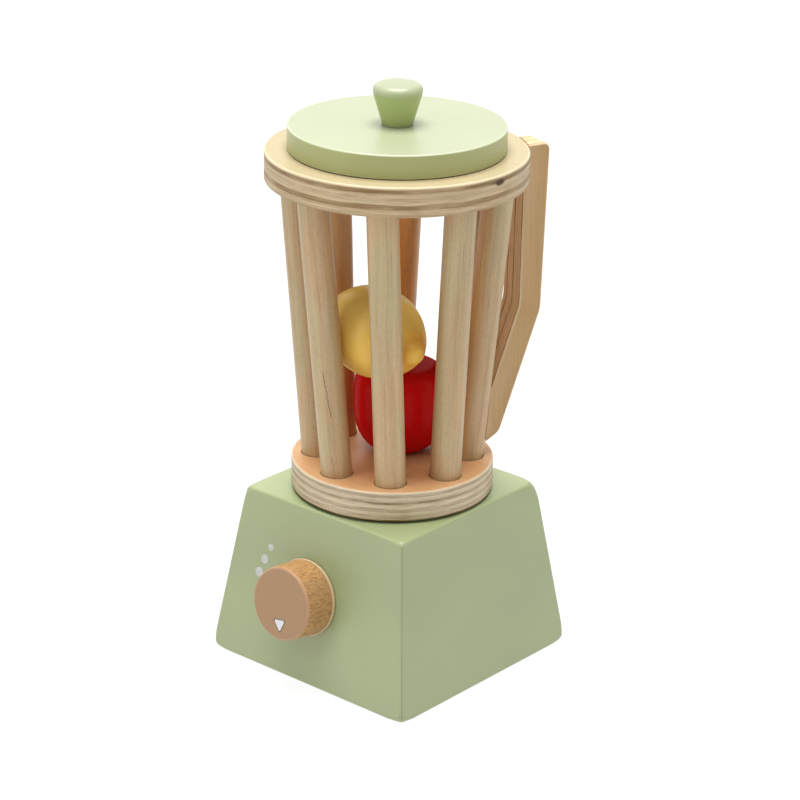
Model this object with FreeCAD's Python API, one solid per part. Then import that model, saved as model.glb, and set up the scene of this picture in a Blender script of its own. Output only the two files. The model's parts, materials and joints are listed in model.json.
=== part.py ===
"""Toy blender: painted wooden housing, lift-off jug of eight slanted staves, lid and play fruit.

Millimetres.  The origin is the centre of the housing's underside, +Z points up and the panel
with the control knob faces -Y.  Azimuths are degrees from -Y, turning towards +X.
"""
import FreeCAD, Part
import math
import os

from FreeCAD import Placement, Rotation, Vector

# ---------------------------------------------------------------- housing
base_bottom_width = 101.0
base_top_width = 81.0
base_height = 69.4
base_wall = 9.0
base_top_thickness = 9.0
base_floor_thickness = 6.0
base_corner_radius = 1.5
base_top_edge_radius = 1.0
base_foot_edge_radius = 1.2
corner_block_width = 16.0
corner_block_height = 22.0
floor_fit_clearance = 0.2
screw_inset_distance = 6.4

floor_screw_diameter = 3.5
floor_screw_length = 20.0
floor_screw_head_diameter = 7.0
floor_screw_head_height = 2.2
floor_screw_sink_depth = 0.3
floor_screw_slot_width = 1.0
floor_screw_slot_length = 4.4
floor_screw_slot_depth = 1.2

boss_diameter = 32.0
boss_height = 5.0
boss_chamfer = 0.8

# ---------------------------------------------------------------- control knob
knob_side_distance = -3.4
knob_centre_height = 34.9
knob_diameter = 29.6
knob_thickness = 13.4
knob_face_radius = 1.0
knob_back_radius = 0.5
knob_washer_diameter = 30.4
knob_washer_thickness = 1.2
knob_shaft_diameter = 8.0
knob_shaft_grip_length = 8.0
knob_collar_diameter = 18.0
knob_collar_thickness = 5.0
knob_screw_diameter = 3.0
knob_screw_length = 14.0
knob_screw_head_diameter = 10.5
knob_screw_head_height = 2.0
knob_screw_bevel_width = 1.2
shaft_running_clearance = 0.08
knob_running_gap = 0.3

# ---------------------------------------------------------------- jug
disc_diameter = 79.0
disc_thickness = 11.85
ring_diameter = 100.0
ring_hole_diameter = 62.0
ring_thickness = 11.6
ring_top_height = 206.2
ply_edge_radius = 0.8
stave_count = 8
stave_diameter = 12.0
stave_foot_circle_diameter = 59.0
stave_head_circle_diameter = 78.0
stave_first_azimuth = 33.4
stave_twist = 6.3
stave_end_chamfer = 0.5
socket_depth = 7.0
socket_clearance = 0.3
boss_clearance = 0.4
seat_gap = 0.25
jug_stand_height = 1.0
glue_gap = 0.05

# ---------------------------------------------------------------- handle
handle_thickness = 12.2
handle_azimuth = 162.2
handle_stave = 3
handle_stave_distance = 3.1
handle_pin_height = 100.0
handle_arm_width = 10.0
handle_lean = 1.5
handle_knee_height = 142.6
handle_low_width = 10.4
handle_seat_top_height = 104.9
handle_foot_height = 88.2
handle_foot_slope = 22.0
handle_top_radius = 3.0
handle_knee_radius = 14.0
handle_foot_radius = 5.0
handle_edge_radius = 0.8
handle_cope_depth = 1.5
handle_joint_gap = 0.15
handle_glued_end_length = 1.0
handle_dowel_diameter = 6.0
handle_dowel_ring_depth = 9.0
handle_dowel_handle_depth = 6.0
handle_pin_diameter = 3.0
handle_pin_stave_depth = 6.0
handle_pin_handle_depth = 7.0

# ---------------------------------------------------------------- lid
lid_diameter = 82.8
lid_thickness = 9.2
lid_edge_radius = 0.6
lid_plug_depth = 6.0
lid_plug_clearance = 0.7
lid_plug_chamfer = 1.0
lid_knob_top_diameter = 20.8
lid_knob_foot_diameter = 11.6
lid_knob_height = 15.8
lid_knob_crown_radius = 3.0
lid_knob_foot_radius = 0.8
lid_pin_diameter = 5.0
lid_pin_lid_depth = 7.0
lid_pin_knob_depth = 9.0

# ---------------------------------------------------------------- play fruit
apple_diameter = 36.2
apple_height = 35.8
apple_azimuth = 197.3
apple_centre_distance = 6.9
apple_start_way = (1, 0, 0)
apple_end_way = (-1, 0, 0)
# share of the radius and share of the height, from the dished foot to the dished crown
apple_outline = ((0.0, 0.04), (0.36, 0.0), (0.80, 0.15), (1.0, 0.55),
                 (0.84, 0.86), (0.48, 1.0), (0.18, 0.94), (0.0, 0.90))
lemon_diameter = 35.0
lemon_length = 53.3
lemon_nub_diameter = 8.6
lemon_nub_length = 4.0
lemon_neck_radius = 2.5
lemon_azimuth = -8.1
lemon_centre_distance = 9.75
lemon_axis_azimuth = 80.8
lemon_axis_rise = -4.4
lemon_centre_height = 52.9
fruit_gap = 0.3

# ---------------------------------------------------------------- derived sizes
UP = Vector(0, 0, 1)
ORIGIN = Vector(0, 0, 0)
tolerance = 1e-4

base_slope = math.atan((base_bottom_width - base_top_width) / 2 / base_height)
wall_run = base_wall / math.cos(base_slope)
disc_bottom = base_height + jug_stand_height
disc_top = disc_bottom + disc_thickness
ring_bottom = ring_top_height - ring_thickness
lid_bottom = ring_top_height + seat_gap
lid_top = lid_bottom + lid_thickness
stave_radius = stave_diameter / 2
ring_radius = ring_diameter / 2


def polar(radius, azimuth, height=0.0):
    """A point at a radius and azimuth about the jug's axis."""
    angle = math.radians(azimuth)
    return Vector(radius * math.sin(angle), -radius * math.cos(angle), height)


def tube(outer_radius, inner_radius, height, bottom):
    """A plain washer-shaped solid standing on a height."""
    outer = Part.makeCylinder(outer_radius, height, Vector(0, 0, bottom))
    return outer.cut(Part.makeCylinder(inner_radius, height, Vector(0, 0, bottom)))


def turned(points):
    """Revolve a straight-sided outline of (radius, height) points about Z."""
    vertices = [Vector(r, 0, z) for r, z in points]
    vertices.append(vertices[0])
    return Part.Face(Part.makePolygon(vertices)).revolve(ORIGIN, UP, 360)


def edges_at(shape, height):
    """The edges of a shape that lie wholly at one height."""
    chosen = []
    for edge in shape.Edges:
        box = edge.BoundBox
        if abs(box.ZMin - height) < tolerance and abs(box.ZMax - height) < tolerance:
            chosen.append(edge)
    return chosen


def save(name, shape):
    """Write one sub-part, as one solid or as a group of separate solids."""
    solids = shape.Solids
    shape = solids[0] if len(solids) == 1 else Part.makeCompound(solids)
    shape.exportStep("parts/" + name + ".step")


# ---------------------------------------------------------------- housing

def square_frustum(bottom_width, top_width, height):
    """A solid whose square section shrinks evenly from the floor to the top."""
    wires = []
    for width, level in ((bottom_width, 0.0), (top_width, height)):
        half = width / 2
        corners = [(-half, -half), (half, -half), (half, half), (-half, half), (-half, -half)]
        wires.append(Part.makePolygon([Vector(x, y, level) for x, y in corners]))
    return Part.makeLoft(wires, True, True)


def housing_blank():
    """The outer form of the housing, with every outside edge rounded."""
    blank = square_frustum(base_bottom_width, base_top_width, base_height)
    rising = [edge for edge in blank.Edges if edge.BoundBox.ZLength > base_height / 2]
    blank = blank.makeFillet(base_corner_radius, rising)
    blank = blank.makeFillet(base_top_edge_radius, edges_at(blank, base_height))
    return blank.makeFillet(base_foot_edge_radius, edges_at(blank, 0.0))


def slab(bottom, top):
    """A wide block between two heights, used to cut level pieces out of a form."""
    width = 2 * base_bottom_width
    return Part.makeBox(width, width, top - bottom, Vector(-width / 2, -width / 2, bottom))


def hollow_form():
    """The tapered space inside the four side panels."""
    shrink = 2 * wall_run
    return square_frustum(base_bottom_width - shrink, base_top_width - shrink, base_height)


def knob_placement():
    """From knob space, where +Z leaves the front panel's face, to the housing."""
    run = base_bottom_width / 2 - knob_centre_height * math.tan(base_slope)
    outward = Vector(0, -math.cos(base_slope), math.sin(base_slope))
    return Placement(Vector(knob_side_distance, -run, knob_centre_height), Rotation(UP, outward))


def in_knob_space(shape):
    """Put a solid that was modelled about +Z on the control knob's axis."""
    moved = shape.copy()
    moved.Placement = knob_placement().multiply(moved.Placement)
    return moved


def side_panels():
    """Four mitred side panels, named by the way they face."""
    walls = housing_blank().cut(hollow_form()).common(slab(0.0, base_height - base_top_thickness))
    reach = base_bottom_width
    names = ("base_front_panel", "base_right_panel", "base_back_panel", "base_left_panel")
    panels = {}
    for quarter, name in enumerate(names):
        corners = [ORIGIN, Vector(-reach, -reach, 0), Vector(reach, -reach, 0), ORIGIN]
        wedge = Part.Face(Part.makePolygon(corners)).extrude(Vector(0, 0, base_height))
        wedge.rotate(ORIGIN, UP, 90 * quarter)
        panels[name] = walls.common(wedge)
    bore_radius = knob_shaft_diameter / 2 + shaft_running_clearance
    bore = Part.makeCylinder(bore_radius, 4 * base_wall, Vector(0, 0, -2 * base_wall))
    panels["base_front_panel"] = panels["base_front_panel"].cut(in_knob_space(bore))
    return panels


def top_panel():
    """The housing's lid board, which carries the jug's boss."""
    return housing_blank().common(slab(base_height - base_top_thickness, base_height))


def corner_block_start():
    """How far from the middle planes the corner blocks begin."""
    inner = base_bottom_width / 2 - wall_run - base_floor_thickness * math.tan(base_slope)
    return inner - corner_block_width


def screw_spots():
    """The four places where the floor is screwed to the corner blocks."""
    centre = corner_block_start() + screw_inset_distance
    return [Vector(x * centre, y * centre, 0) for x in (-1, 1) for y in (-1, 1)]


def floor_screw():
    """A countersunk cross-slotted screw, driven upwards, with its head at the bottom."""
    head, shank = floor_screw_head_diameter / 2, floor_screw_diameter / 2
    neck = floor_screw_sink_depth + floor_screw_head_height
    tip = floor_screw_sink_depth + floor_screw_length
    screw = turned([(0, floor_screw_sink_depth), (head, floor_screw_sink_depth), (shank, neck),
                    (shank, tip - floor_screw_diameter), (0, tip)])
    wide, narrow = floor_screw_slot_length, floor_screw_slot_width
    for x, y in ((wide, narrow), (narrow, wide)):
        slot = Part.makeBox(x, y, floor_screw_slot_depth, Vector(-x / 2, -y / 2, floor_screw_sink_depth))
        screw = screw.cut(slot)
    return screw


def floor_screw_hole():
    """The countersunk hole for one floor screw, open at the housing's underside."""
    head = floor_screw_head_diameter / 2 + glue_gap
    shank = floor_screw_diameter / 2 + glue_gap
    neck = floor_screw_sink_depth + floor_screw_head_height
    tip = floor_screw_sink_depth + floor_screw_length + glue_gap
    return turned([(0, 0), (head, 0), (head, floor_screw_sink_depth), (shank, neck),
                   (shank, tip), (0, tip)])


def housing_floor():
    """The floor board, flush with the panels' lower edges and screwed from below."""
    fit = 2 * (wall_run + floor_fit_clearance)
    board = square_frustum(base_bottom_width - fit, base_top_width - fit, base_height)
    board = board.common(slab(0.0, base_floor_thickness))
    for spot in screw_spots():
        hole = floor_screw_hole()
        hole.translate(spot)
        board = board.cut(hole)
    return board


def corner_blocks():
    """Glue blocks that stand in the housing's corners and take the floor screws."""
    start = corner_block_start()
    size = base_bottom_width
    level = slab(base_floor_thickness, base_floor_thickness + corner_block_height)
    inside = hollow_form().common(level)
    blocks = []
    for spot in screw_spots():
        x_low = start if spot.x > 0 else -start - size
        y_low = start if spot.y > 0 else -start - size
        corner = Part.makeBox(size, size, base_height, Vector(x_low, y_low, 0))
        hole = floor_screw_hole()
        hole.translate(spot)
        blocks.append(inside.common(corner).cut(hole))
    return Part.makeCompound(blocks)


def floor_screws():
    """The four floor screws as one group."""
    screws = []
    for spot in screw_spots():
        screw = floor_screw()
        screw.translate(spot)
        screws.append(screw)
    return Part.makeCompound(screws)


def jug_boss():
    """The round boss on the housing that the jug drops over."""
    boss = Part.makeCylinder(boss_diameter / 2, boss_height, Vector(0, 0, base_height))
    return boss.makeChamfer(boss_chamfer, edges_at(boss, base_height + boss_height))


# ---------------------------------------------------------------- control knob

def knob_shaft_ends():
    """Inner and outer ends of the knob's shaft, in knob space."""
    inner = -(base_wall + knob_running_gap + knob_collar_thickness)
    outer = knob_running_gap + knob_washer_thickness + knob_shaft_grip_length
    return inner, outer


def knob_screw(clearance=0.0):
    """The wide-headed screw in the shaft's inner end, in knob space."""
    inner = knob_shaft_ends()[0]
    shank = knob_screw_diameter / 2 + clearance
    head = knob_screw_head_diameter / 2
    back = inner - knob_screw_head_height
    tip = inner + knob_screw_length + clearance
    return turned([(0, back), (head - knob_screw_bevel_width, back), (head, back + knob_screw_bevel_width),
                   (head, inner), (shank, inner), (shank, tip - knob_screw_diameter), (0, tip)])


def control_knob_pieces():
    """Knob, washer, shaft, collar and screw, which all turn together."""
    inner, outer = knob_shaft_ends()
    shaft_radius = knob_shaft_diameter / 2
    snug = shaft_radius + glue_gap
    washer_front = knob_running_gap + knob_washer_thickness

    knob = Part.makeCylinder(knob_diameter / 2, knob_thickness, Vector(0, 0, washer_front))
    knob = knob.makeFillet(knob_face_radius, edges_at(knob, washer_front + knob_thickness))
    knob = knob.makeFillet(knob_back_radius, edges_at(knob, washer_front))
    socket = Part.makeCylinder(snug, knob_shaft_grip_length + glue_gap, Vector(0, 0, washer_front))
    knob = knob.cut(socket)

    washer = tube(knob_washer_diameter / 2, snug, knob_washer_thickness, knob_running_gap)
    shaft = Part.makeCylinder(shaft_radius, outer - inner, Vector(0, 0, inner))
    shaft = shaft.cut(knob_screw(glue_gap))
    collar = tube(knob_collar_diameter / 2, snug, knob_collar_thickness, inner)
    pieces = {"control_knob": knob, "knob_washer": washer, "knob_shaft": shaft,
              "knob_retaining_collar": collar, "knob_screw": knob_screw()}
    return {name: in_knob_space(shape) for name, shape in pieces.items()}


# ---------------------------------------------------------------- jug

def stave_line(number):
    """Where a stave's axis leaves the base disc and where it enters the top ring."""
    azimuth = stave_first_azimuth + (number - 1) * 360.0 / stave_count
    foot = polar(stave_foot_circle_diameter / 2, azimuth + stave_twist, disc_top)
    head = polar(stave_head_circle_diameter / 2, azimuth, ring_bottom)
    return foot, head


def stave_rod(number, extra_radius=0.0, extra_length=0.0):
    """A round rod along a stave's axis, sunk into both sockets."""
    foot, head = stave_line(number)
    along = (head - foot).normalize()
    sunk = socket_depth + extra_length
    length = (head - foot).Length + 2 * sunk
    return Part.makeCylinder(stave_radius + extra_radius, length, foot - along * sunk, along)


def staves():
    """The eight slanted staves, each with eased ends."""
    rods = {}
    for number in range(1, stave_count + 1):
        rod = stave_rod(number)
        rims = [edge for edge in rod.Edges if abs(edge.Length - math.pi * stave_diameter) < tolerance]
        rod = rod.makeChamfer(stave_end_chamfer, rims)
        if number == handle_stave:
            rod = rod.cut(handle_pin(glue_gap))
        rods["stave_" + str(number)] = rod
    return rods


def base_disc():
    """The jug's plywood bottom, with slanted blind sockets and the boss recess."""
    disc = Part.makeCylinder(disc_diameter / 2, disc_thickness, Vector(0, 0, disc_bottom))
    disc = disc.makeFillet(ply_edge_radius, edges_at(disc, disc_bottom) + edges_at(disc, disc_top))
    recess_radius = boss_diameter / 2 + boss_clearance
    recess_depth = boss_height - jug_stand_height + seat_gap
    disc = disc.cut(Part.makeCylinder(recess_radius, recess_depth, Vector(0, 0, disc_bottom)))
    for number in range(1, stave_count + 1):
        disc = disc.cut(stave_rod(number, socket_clearance, glue_gap))
    return disc


def top_ring():
    """The jug's plywood rim, socketed below for the staves and bored for the handle dowel."""
    ring = tube(ring_radius, ring_hole_diameter / 2, ring_thickness, ring_bottom)
    rims = edges_at(ring, ring_top_height) + edges_at(ring, ring_bottom)
    ring = ring.makeFillet(ply_edge_radius, rims)
    for number in range(1, stave_count + 1):
        ring = ring.cut(stave_rod(number, socket_clearance, glue_gap))
    return ring.cut(handle_dowel(glue_gap))


# ---------------------------------------------------------------- handle

def handle_axes():
    """Unit vectors along the handle's reach and across its thickness."""
    return polar(1, handle_azimuth), polar(1, handle_azimuth - 90)


def stave_at(number, height):
    """The point of a stave's axis at a height."""
    foot, head = stave_line(number)
    return foot + (head - foot) * ((height - foot.z) / (head.z - foot.z))


def handle_middle():
    """Distance of the handle's middle plane from the jug's axis."""
    across = handle_axes()[1]
    return stave_at(handle_stave, handle_pin_height).dot(across) - handle_stave_distance


def handle_frame(reach, height):
    """A point of the handle's middle plane from its reach and height."""
    out, across = handle_axes()
    return out * reach + across * handle_middle() + UP * height


def crossing(point_a, way_a, point_b, way_b):
    """Where two lines of the handle's outline cross."""
    cross = way_a[0] * way_b[1] - way_a[1] * way_b[0]
    gap = (point_b[0] - point_a[0], point_b[1] - point_a[1])
    share = (gap[0] * way_b[1] - gap[1] * way_b[0]) / cross
    return point_a[0] + way_a[0] * share, point_a[1] + way_a[1] * share


def handle_ring_reach():
    """Reach at which the handle's near face meets the ring's rim."""
    near = handle_middle() + handle_thickness / 2
    return math.sqrt(ring_radius ** 2 - near ** 2)


def handle_seat(height):
    """Reach and height at which the handle's inner edge sinks into the coped stave."""
    out = handle_axes()[0]
    return stave_at(handle_stave, height).dot(out) + stave_radius - handle_cope_depth, height


def handle_outline():
    """Corner points (reach, height) and corner radii, clockwise from the top inner corner."""
    lean = math.radians(handle_lean)
    upper = (-math.sin(lean), -math.cos(lean))
    top_in = (handle_ring_reach() + handle_joint_gap, ring_top_height)
    top_out = (top_in[0] + handle_arm_width / math.cos(lean), ring_top_height)
    knee_drop = ring_top_height - handle_knee_height
    knee_in = (top_in[0] - knee_drop * math.tan(lean), handle_knee_height)

    seat_top, foot_in = handle_seat(handle_seat_top_height), handle_seat(handle_foot_height)
    length = math.dist(knee_in, seat_top)
    lower = ((seat_top[0] - knee_in[0]) / length, (seat_top[1] - knee_in[1]) / length)
    beside = (seat_top[0] - lower[1] * handle_low_width, seat_top[1] + lower[0] * handle_low_width)
    knee_out = crossing(top_out, upper, beside, lower)
    slope = math.radians(handle_foot_slope)
    foot_out = crossing(foot_in, (math.cos(slope), math.sin(slope)), beside, lower)
    return [(top_in, 0.0), (top_out, handle_top_radius), (knee_out, handle_knee_radius),
            (foot_out, handle_foot_radius), (foot_in, 0.0), (seat_top, 0.0),
            (knee_in, handle_knee_radius)]


def rounded_wire(corners):
    """A closed wire through points of 3-D space, with an arc at each corner that has a radius."""
    edges = []
    ends = []
    for index, (corner, radius) in enumerate(corners):
        before = (corners[index - 1][0] - corner).normalize()
        after = (corners[(index + 1) % len(corners)][0] - corner).normalize()
        if radius == 0.0:
            ends.append((corner, corner, None))
            continue
        half = before.getAngle(after) / 2
        trim = radius / math.tan(half)
        start, stop = corner + before * trim, corner + after * trim
        middle = (before + after).normalize()
        centre = corner + middle * (radius / math.sin(half))
        ends.append((start, stop, Part.Arc(start, centre - middle * radius, stop)))
    for index, (start, stop, arc) in enumerate(ends):
        if arc is not None:
            edges.append(arc.toShape())
        edges.append(Part.LineSegment(stop, ends[(index + 1) % len(ends)][0]).toShape())
    return Part.Wire(edges)


def handle_dowel(clearance=0.0):
    """The dowel between the ring's rim and the handle."""
    out = handle_axes()[0]
    reach = handle_ring_reach() - handle_dowel_ring_depth - clearance
    length = handle_dowel_ring_depth + handle_dowel_handle_depth + 2 * clearance
    start = handle_frame(reach, ring_bottom + ring_thickness / 2)
    return Part.makeCylinder(handle_dowel_diameter / 2 + clearance, length, start, out)


def handle_pin(clearance=0.0):
    """The pin between the handle's foot and the stave it is glued to."""
    out = handle_axes()[0]
    centre = stave_at(handle_stave, handle_pin_height)
    start = centre + out * (stave_radius - handle_pin_stave_depth - clearance)
    length = handle_pin_stave_depth + handle_pin_handle_depth + 2 * clearance
    return Part.makeCylinder(handle_pin_diameter / 2 + clearance, length, start, out)


def handle():
    """The cranked plywood handle, let in round the ring's rim and coped to one stave."""
    across = handle_axes()[1]
    corners = [(handle_frame(*point), radius) for point, radius in handle_outline()]
    plate = Part.Face(rounded_wire(corners)).extrude(across * handle_thickness)
    plate.translate(across * (-handle_thickness / 2))
    long_edges = [edge for edge in plate.Edges
                  if abs((edge.Vertexes[0].Point - edge.Vertexes[-1].Point).dot(across)) < tolerance]
    outer = [edge for edge in long_edges if is_gripped(edge)]
    plate = plate.makeFillet(handle_edge_radius, outer)
    rim_height = ring_thickness + 2 * handle_joint_gap
    rim_foot = Vector(0, 0, ring_bottom - handle_joint_gap)
    plate = plate.cut(Part.makeCylinder(ring_radius + handle_joint_gap, rim_height, rim_foot))
    plate = plate.cut(stave_rod(handle_stave, handle_joint_gap))
    plate = plate.cut(handle_dowel(glue_gap))
    return plate.cut(handle_pin(glue_gap))


def is_gripped(edge):
    """True for the handle's edges away from its two glued ends."""
    out = handle_axes()[0]
    middle = edge.CenterOfMass
    seat = stave_at(handle_stave, middle.z).dot(out) + stave_radius
    on_seat = middle.dot(out) < seat + handle_glued_end_length
    on_rim = middle.dot(out) < handle_ring_reach() + handle_glued_end_length and middle.z > ring_bottom
    return not on_seat and not on_rim


# ---------------------------------------------------------------- lid

def lid_pieces():
    """Lid disc, centring plug, grip knob and the pin that holds the knob."""
    disc = Part.makeCylinder(lid_diameter / 2, lid_thickness, Vector(0, 0, lid_bottom))
    disc = disc.makeFillet(lid_edge_radius, edges_at(disc, lid_bottom) + edges_at(disc, lid_top))

    plug_radius = ring_hole_diameter / 2 - lid_plug_clearance
    plug = Part.makeCylinder(plug_radius, lid_plug_depth, Vector(0, 0, lid_bottom - lid_plug_depth))
    plug = plug.makeChamfer(lid_plug_chamfer, edges_at(plug, lid_bottom - lid_plug_depth))

    foot, top = lid_knob_foot_diameter / 2, lid_knob_top_diameter / 2
    knob_top = lid_top + lid_knob_height
    knob = turned([(0, lid_top), (foot, lid_top), (top, knob_top), (0, knob_top)])
    knob = knob.makeFillet(lid_knob_crown_radius, edges_at(knob, knob_top))
    knob = knob.makeFillet(lid_knob_foot_radius, edges_at(knob, lid_top))

    pin_low = lid_top - lid_pin_lid_depth
    pin_length = lid_pin_lid_depth + lid_pin_knob_depth
    pin = Part.makeCylinder(lid_pin_diameter / 2, pin_length, Vector(0, 0, pin_low))
    bore = Part.makeCylinder(lid_pin_diameter / 2 + glue_gap, pin_length + 2 * glue_gap,
                             Vector(0, 0, pin_low - glue_gap))
    return {"lid_disc": disc.cut(bore), "lid_plug": plug, "lid_knob": knob.cut(bore),
            "lid_knob_pin": pin}


# ---------------------------------------------------------------- play fruit

def apple():
    """A chunky turned apple, widest above its middle and dished at both ends."""
    points = [Vector(r * apple_diameter / 2, 0, z * apple_height) for r, z in apple_outline]
    curve = Part.BSplineCurve()
    curve.interpolate(Points=points, InitialTangent=Vector(*apple_start_way),
                      FinalTangent=Vector(*apple_end_way))
    core = Part.LineSegment(points[-1], points[0]).toShape()
    fruit = Part.Face(Part.Wire([curve.toShape(), core])).revolve(ORIGIN, UP, 360)
    fruit.translate(polar(apple_centre_distance, apple_azimuth, disc_top + fruit_gap))
    return fruit


def lemon():
    """A round-bellied lemon with a domed nub at each end, lying across the apple."""
    belly, half = lemon_diameter / 2, lemon_length / 2
    neck = lemon_nub_diameter / 2
    shoulder = half - lemon_nub_length
    dome_radius = (neck ** 2 + lemon_nub_length ** 2) / (2 * lemon_nub_length)
    half_turn = math.asin(neck / dome_radius) / 2
    dome_side = dome_radius * math.sin(half_turn)
    dome_end = half - dome_radius + dome_radius * math.cos(half_turn)

    tips = Vector(0, 0, -half), Vector(0, 0, half)
    necks = Vector(neck, 0, -shoulder), Vector(neck, 0, shoulder)
    outline = [Part.Arc(tips[0], Vector(dome_side, 0, -dome_end), necks[0]),
               Part.Arc(necks[0], Vector(belly, 0, 0), necks[1]),
               Part.Arc(necks[1], Vector(dome_side, 0, dome_end), tips[1]),
               Part.LineSegment(tips[1], tips[0])]
    face = Part.Face(Part.Wire([curve.toBSpline().toShape() for curve in outline]))
    fruit = face.revolve(ORIGIN, UP, 360)
    neck_rims = edges_at(fruit, shoulder) + edges_at(fruit, -shoulder)
    fruit = fruit.makeFillet(lemon_neck_radius, neck_rims)

    rise = math.radians(lemon_axis_rise)
    way = polar(math.cos(rise), lemon_axis_azimuth, math.sin(rise))
    centre = polar(lemon_centre_distance, lemon_azimuth, disc_top + lemon_centre_height)
    fruit.Placement = Placement(centre, Rotation(UP, way))
    return fruit


# ---------------------------------------------------------------- the whole toy

def main():
    """Build every sub-part and write it to its own STEP file."""
    os.makedirs("parts", exist_ok=True)
    pieces = {}
    pieces.update(side_panels())
    pieces["base_top_panel"] = top_panel()
    pieces["base_floor_panel"] = housing_floor()
    pieces["base_corner_blocks"] = corner_blocks()
    pieces["base_floor_screws"] = floor_screws()
    pieces["jug_locating_boss"] = jug_boss()
    pieces.update(control_knob_pieces())
    pieces["jug_base_disc"] = base_disc()
    pieces.update(staves())
    pieces["jug_top_ring"] = top_ring()
    pieces["handle"] = handle()
    pieces["handle_ring_dowel"] = handle_dowel()
    pieces["handle_stave_pin"] = handle_pin()
    pieces.update(lid_pieces())
    pieces["apple"] = apple()
    pieces["lemon"] = lemon()
    for name, shape in pieces.items():
        save(name, shape)


main()
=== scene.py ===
"""Looks of a wooden toy blender: painted housing, slatted jug, lid, control knob and play fruit."""
import json
import math

import bmesh
import bpy
from bpy.props import FloatProperty, FloatVectorProperty, IntProperty, PointerProperty
from mathutils import Matrix, Vector

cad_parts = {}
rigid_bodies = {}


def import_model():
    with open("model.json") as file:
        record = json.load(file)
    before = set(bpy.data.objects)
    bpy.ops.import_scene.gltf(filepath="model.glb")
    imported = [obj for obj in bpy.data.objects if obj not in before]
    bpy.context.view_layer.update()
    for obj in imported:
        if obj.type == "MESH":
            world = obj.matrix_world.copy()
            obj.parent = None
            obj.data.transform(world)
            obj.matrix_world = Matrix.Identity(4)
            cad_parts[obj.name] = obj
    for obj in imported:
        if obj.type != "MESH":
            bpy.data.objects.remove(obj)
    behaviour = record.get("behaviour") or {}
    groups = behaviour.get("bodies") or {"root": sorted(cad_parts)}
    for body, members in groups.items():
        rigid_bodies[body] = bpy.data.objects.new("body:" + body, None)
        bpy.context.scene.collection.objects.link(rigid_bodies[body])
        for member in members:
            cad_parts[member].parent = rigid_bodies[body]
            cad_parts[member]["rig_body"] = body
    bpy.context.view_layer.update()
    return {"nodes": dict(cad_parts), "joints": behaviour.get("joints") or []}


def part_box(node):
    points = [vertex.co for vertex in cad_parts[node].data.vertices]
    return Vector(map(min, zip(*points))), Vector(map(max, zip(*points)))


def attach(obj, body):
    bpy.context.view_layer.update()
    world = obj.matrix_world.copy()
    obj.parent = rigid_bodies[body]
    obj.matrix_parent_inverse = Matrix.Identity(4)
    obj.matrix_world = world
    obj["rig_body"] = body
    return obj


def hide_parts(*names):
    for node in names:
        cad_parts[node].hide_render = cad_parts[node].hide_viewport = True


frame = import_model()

bl_info = {
    "name": "Wooden Toy Blender",
    "version": (1, 0, 0),
    "blender": (4, 5, 0),
    "location": "3D Viewport > Sidebar > Toy Blender",
    "description": "Models a wooden play blender around its packed frame",
    "category": "Object",
}

UP = Vector((0, 0, 1))
SIDE = Vector((1, 0, 0))
MIDDLE = UP * 0.12
WHITE = (1.0, 1.0, 1.0, 1.0)
MM = 0.001
SHARP = math.radians(32)
WELD = 1e-7
ROUND_STEPS = 8
LATHE_STEPS = 160
HOUSING_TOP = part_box("base_top_panel")[1].z
DISC_LOW, DISC_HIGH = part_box("jug_base_disc")
RING_LOW, RING_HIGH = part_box("jug_top_ring")


# ---------------------------------------------------------------- sizes and colours

def length(name, description, default):
    """A length that the user can change, in metres."""
    return FloatProperty(name=name, description=description, default=default, min=0.0,
                         unit="LENGTH", subtype="DISTANCE", precision=4)


def turn(name, description, default):
    """An angle that the user can change, given in degrees and kept in radians."""
    return FloatProperty(name=name, description=description, default=math.radians(default),
                         subtype="ANGLE", unit="ROTATION")


def tint(name, description, default):
    """A colour that the user can change."""
    return FloatVectorProperty(name=name, description=description, default=default, size=3,
                               min=0.0, max=1.0, subtype="COLOR")


class HousingSizes(bpy.types.PropertyGroup):
    bottom_width: length("Bottom width", "Width across the lower edges", 0.101)
    top_width: length("Top width", "Width across the upper edges before rounding", 0.081)
    wall: length("Wall", "Thickness of the side panels", 0.009)
    edge_rounding: length("Edge rounding", "Rounding of the edges", 0.0012)
    foot_rounding: length("Foot rounding", "Rounding of the upright edges at the foot", 0.0015)
    top_corners: length("Top corners", "Rounding of the upper corners", 0.0020)
    foot_corners: length("Foot corners", "Rounding of the lower corners", 0.0030)
    back_corner: length("Back corner", "Rounding of the most sanded upper corner", 0.0032)
    sanding_reach: length("Sanding reach", "How far along the edges the sanding reaches", 0.009)
    paint: tint("Paint", "Pistachio paint of the housing and the lid", (0.342, 0.395, 0.205))
    # paler paint laid on the edges: partly wear, partly a painted highlight
    wear_and_highlight_paint: tint("Worn paint", "Paler paint where edges are rubbed", (0.80, 0.84, 0.62))
    mark: tint("Mark", "Printed dots", (0.54, 0.55, 0.53))


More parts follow.
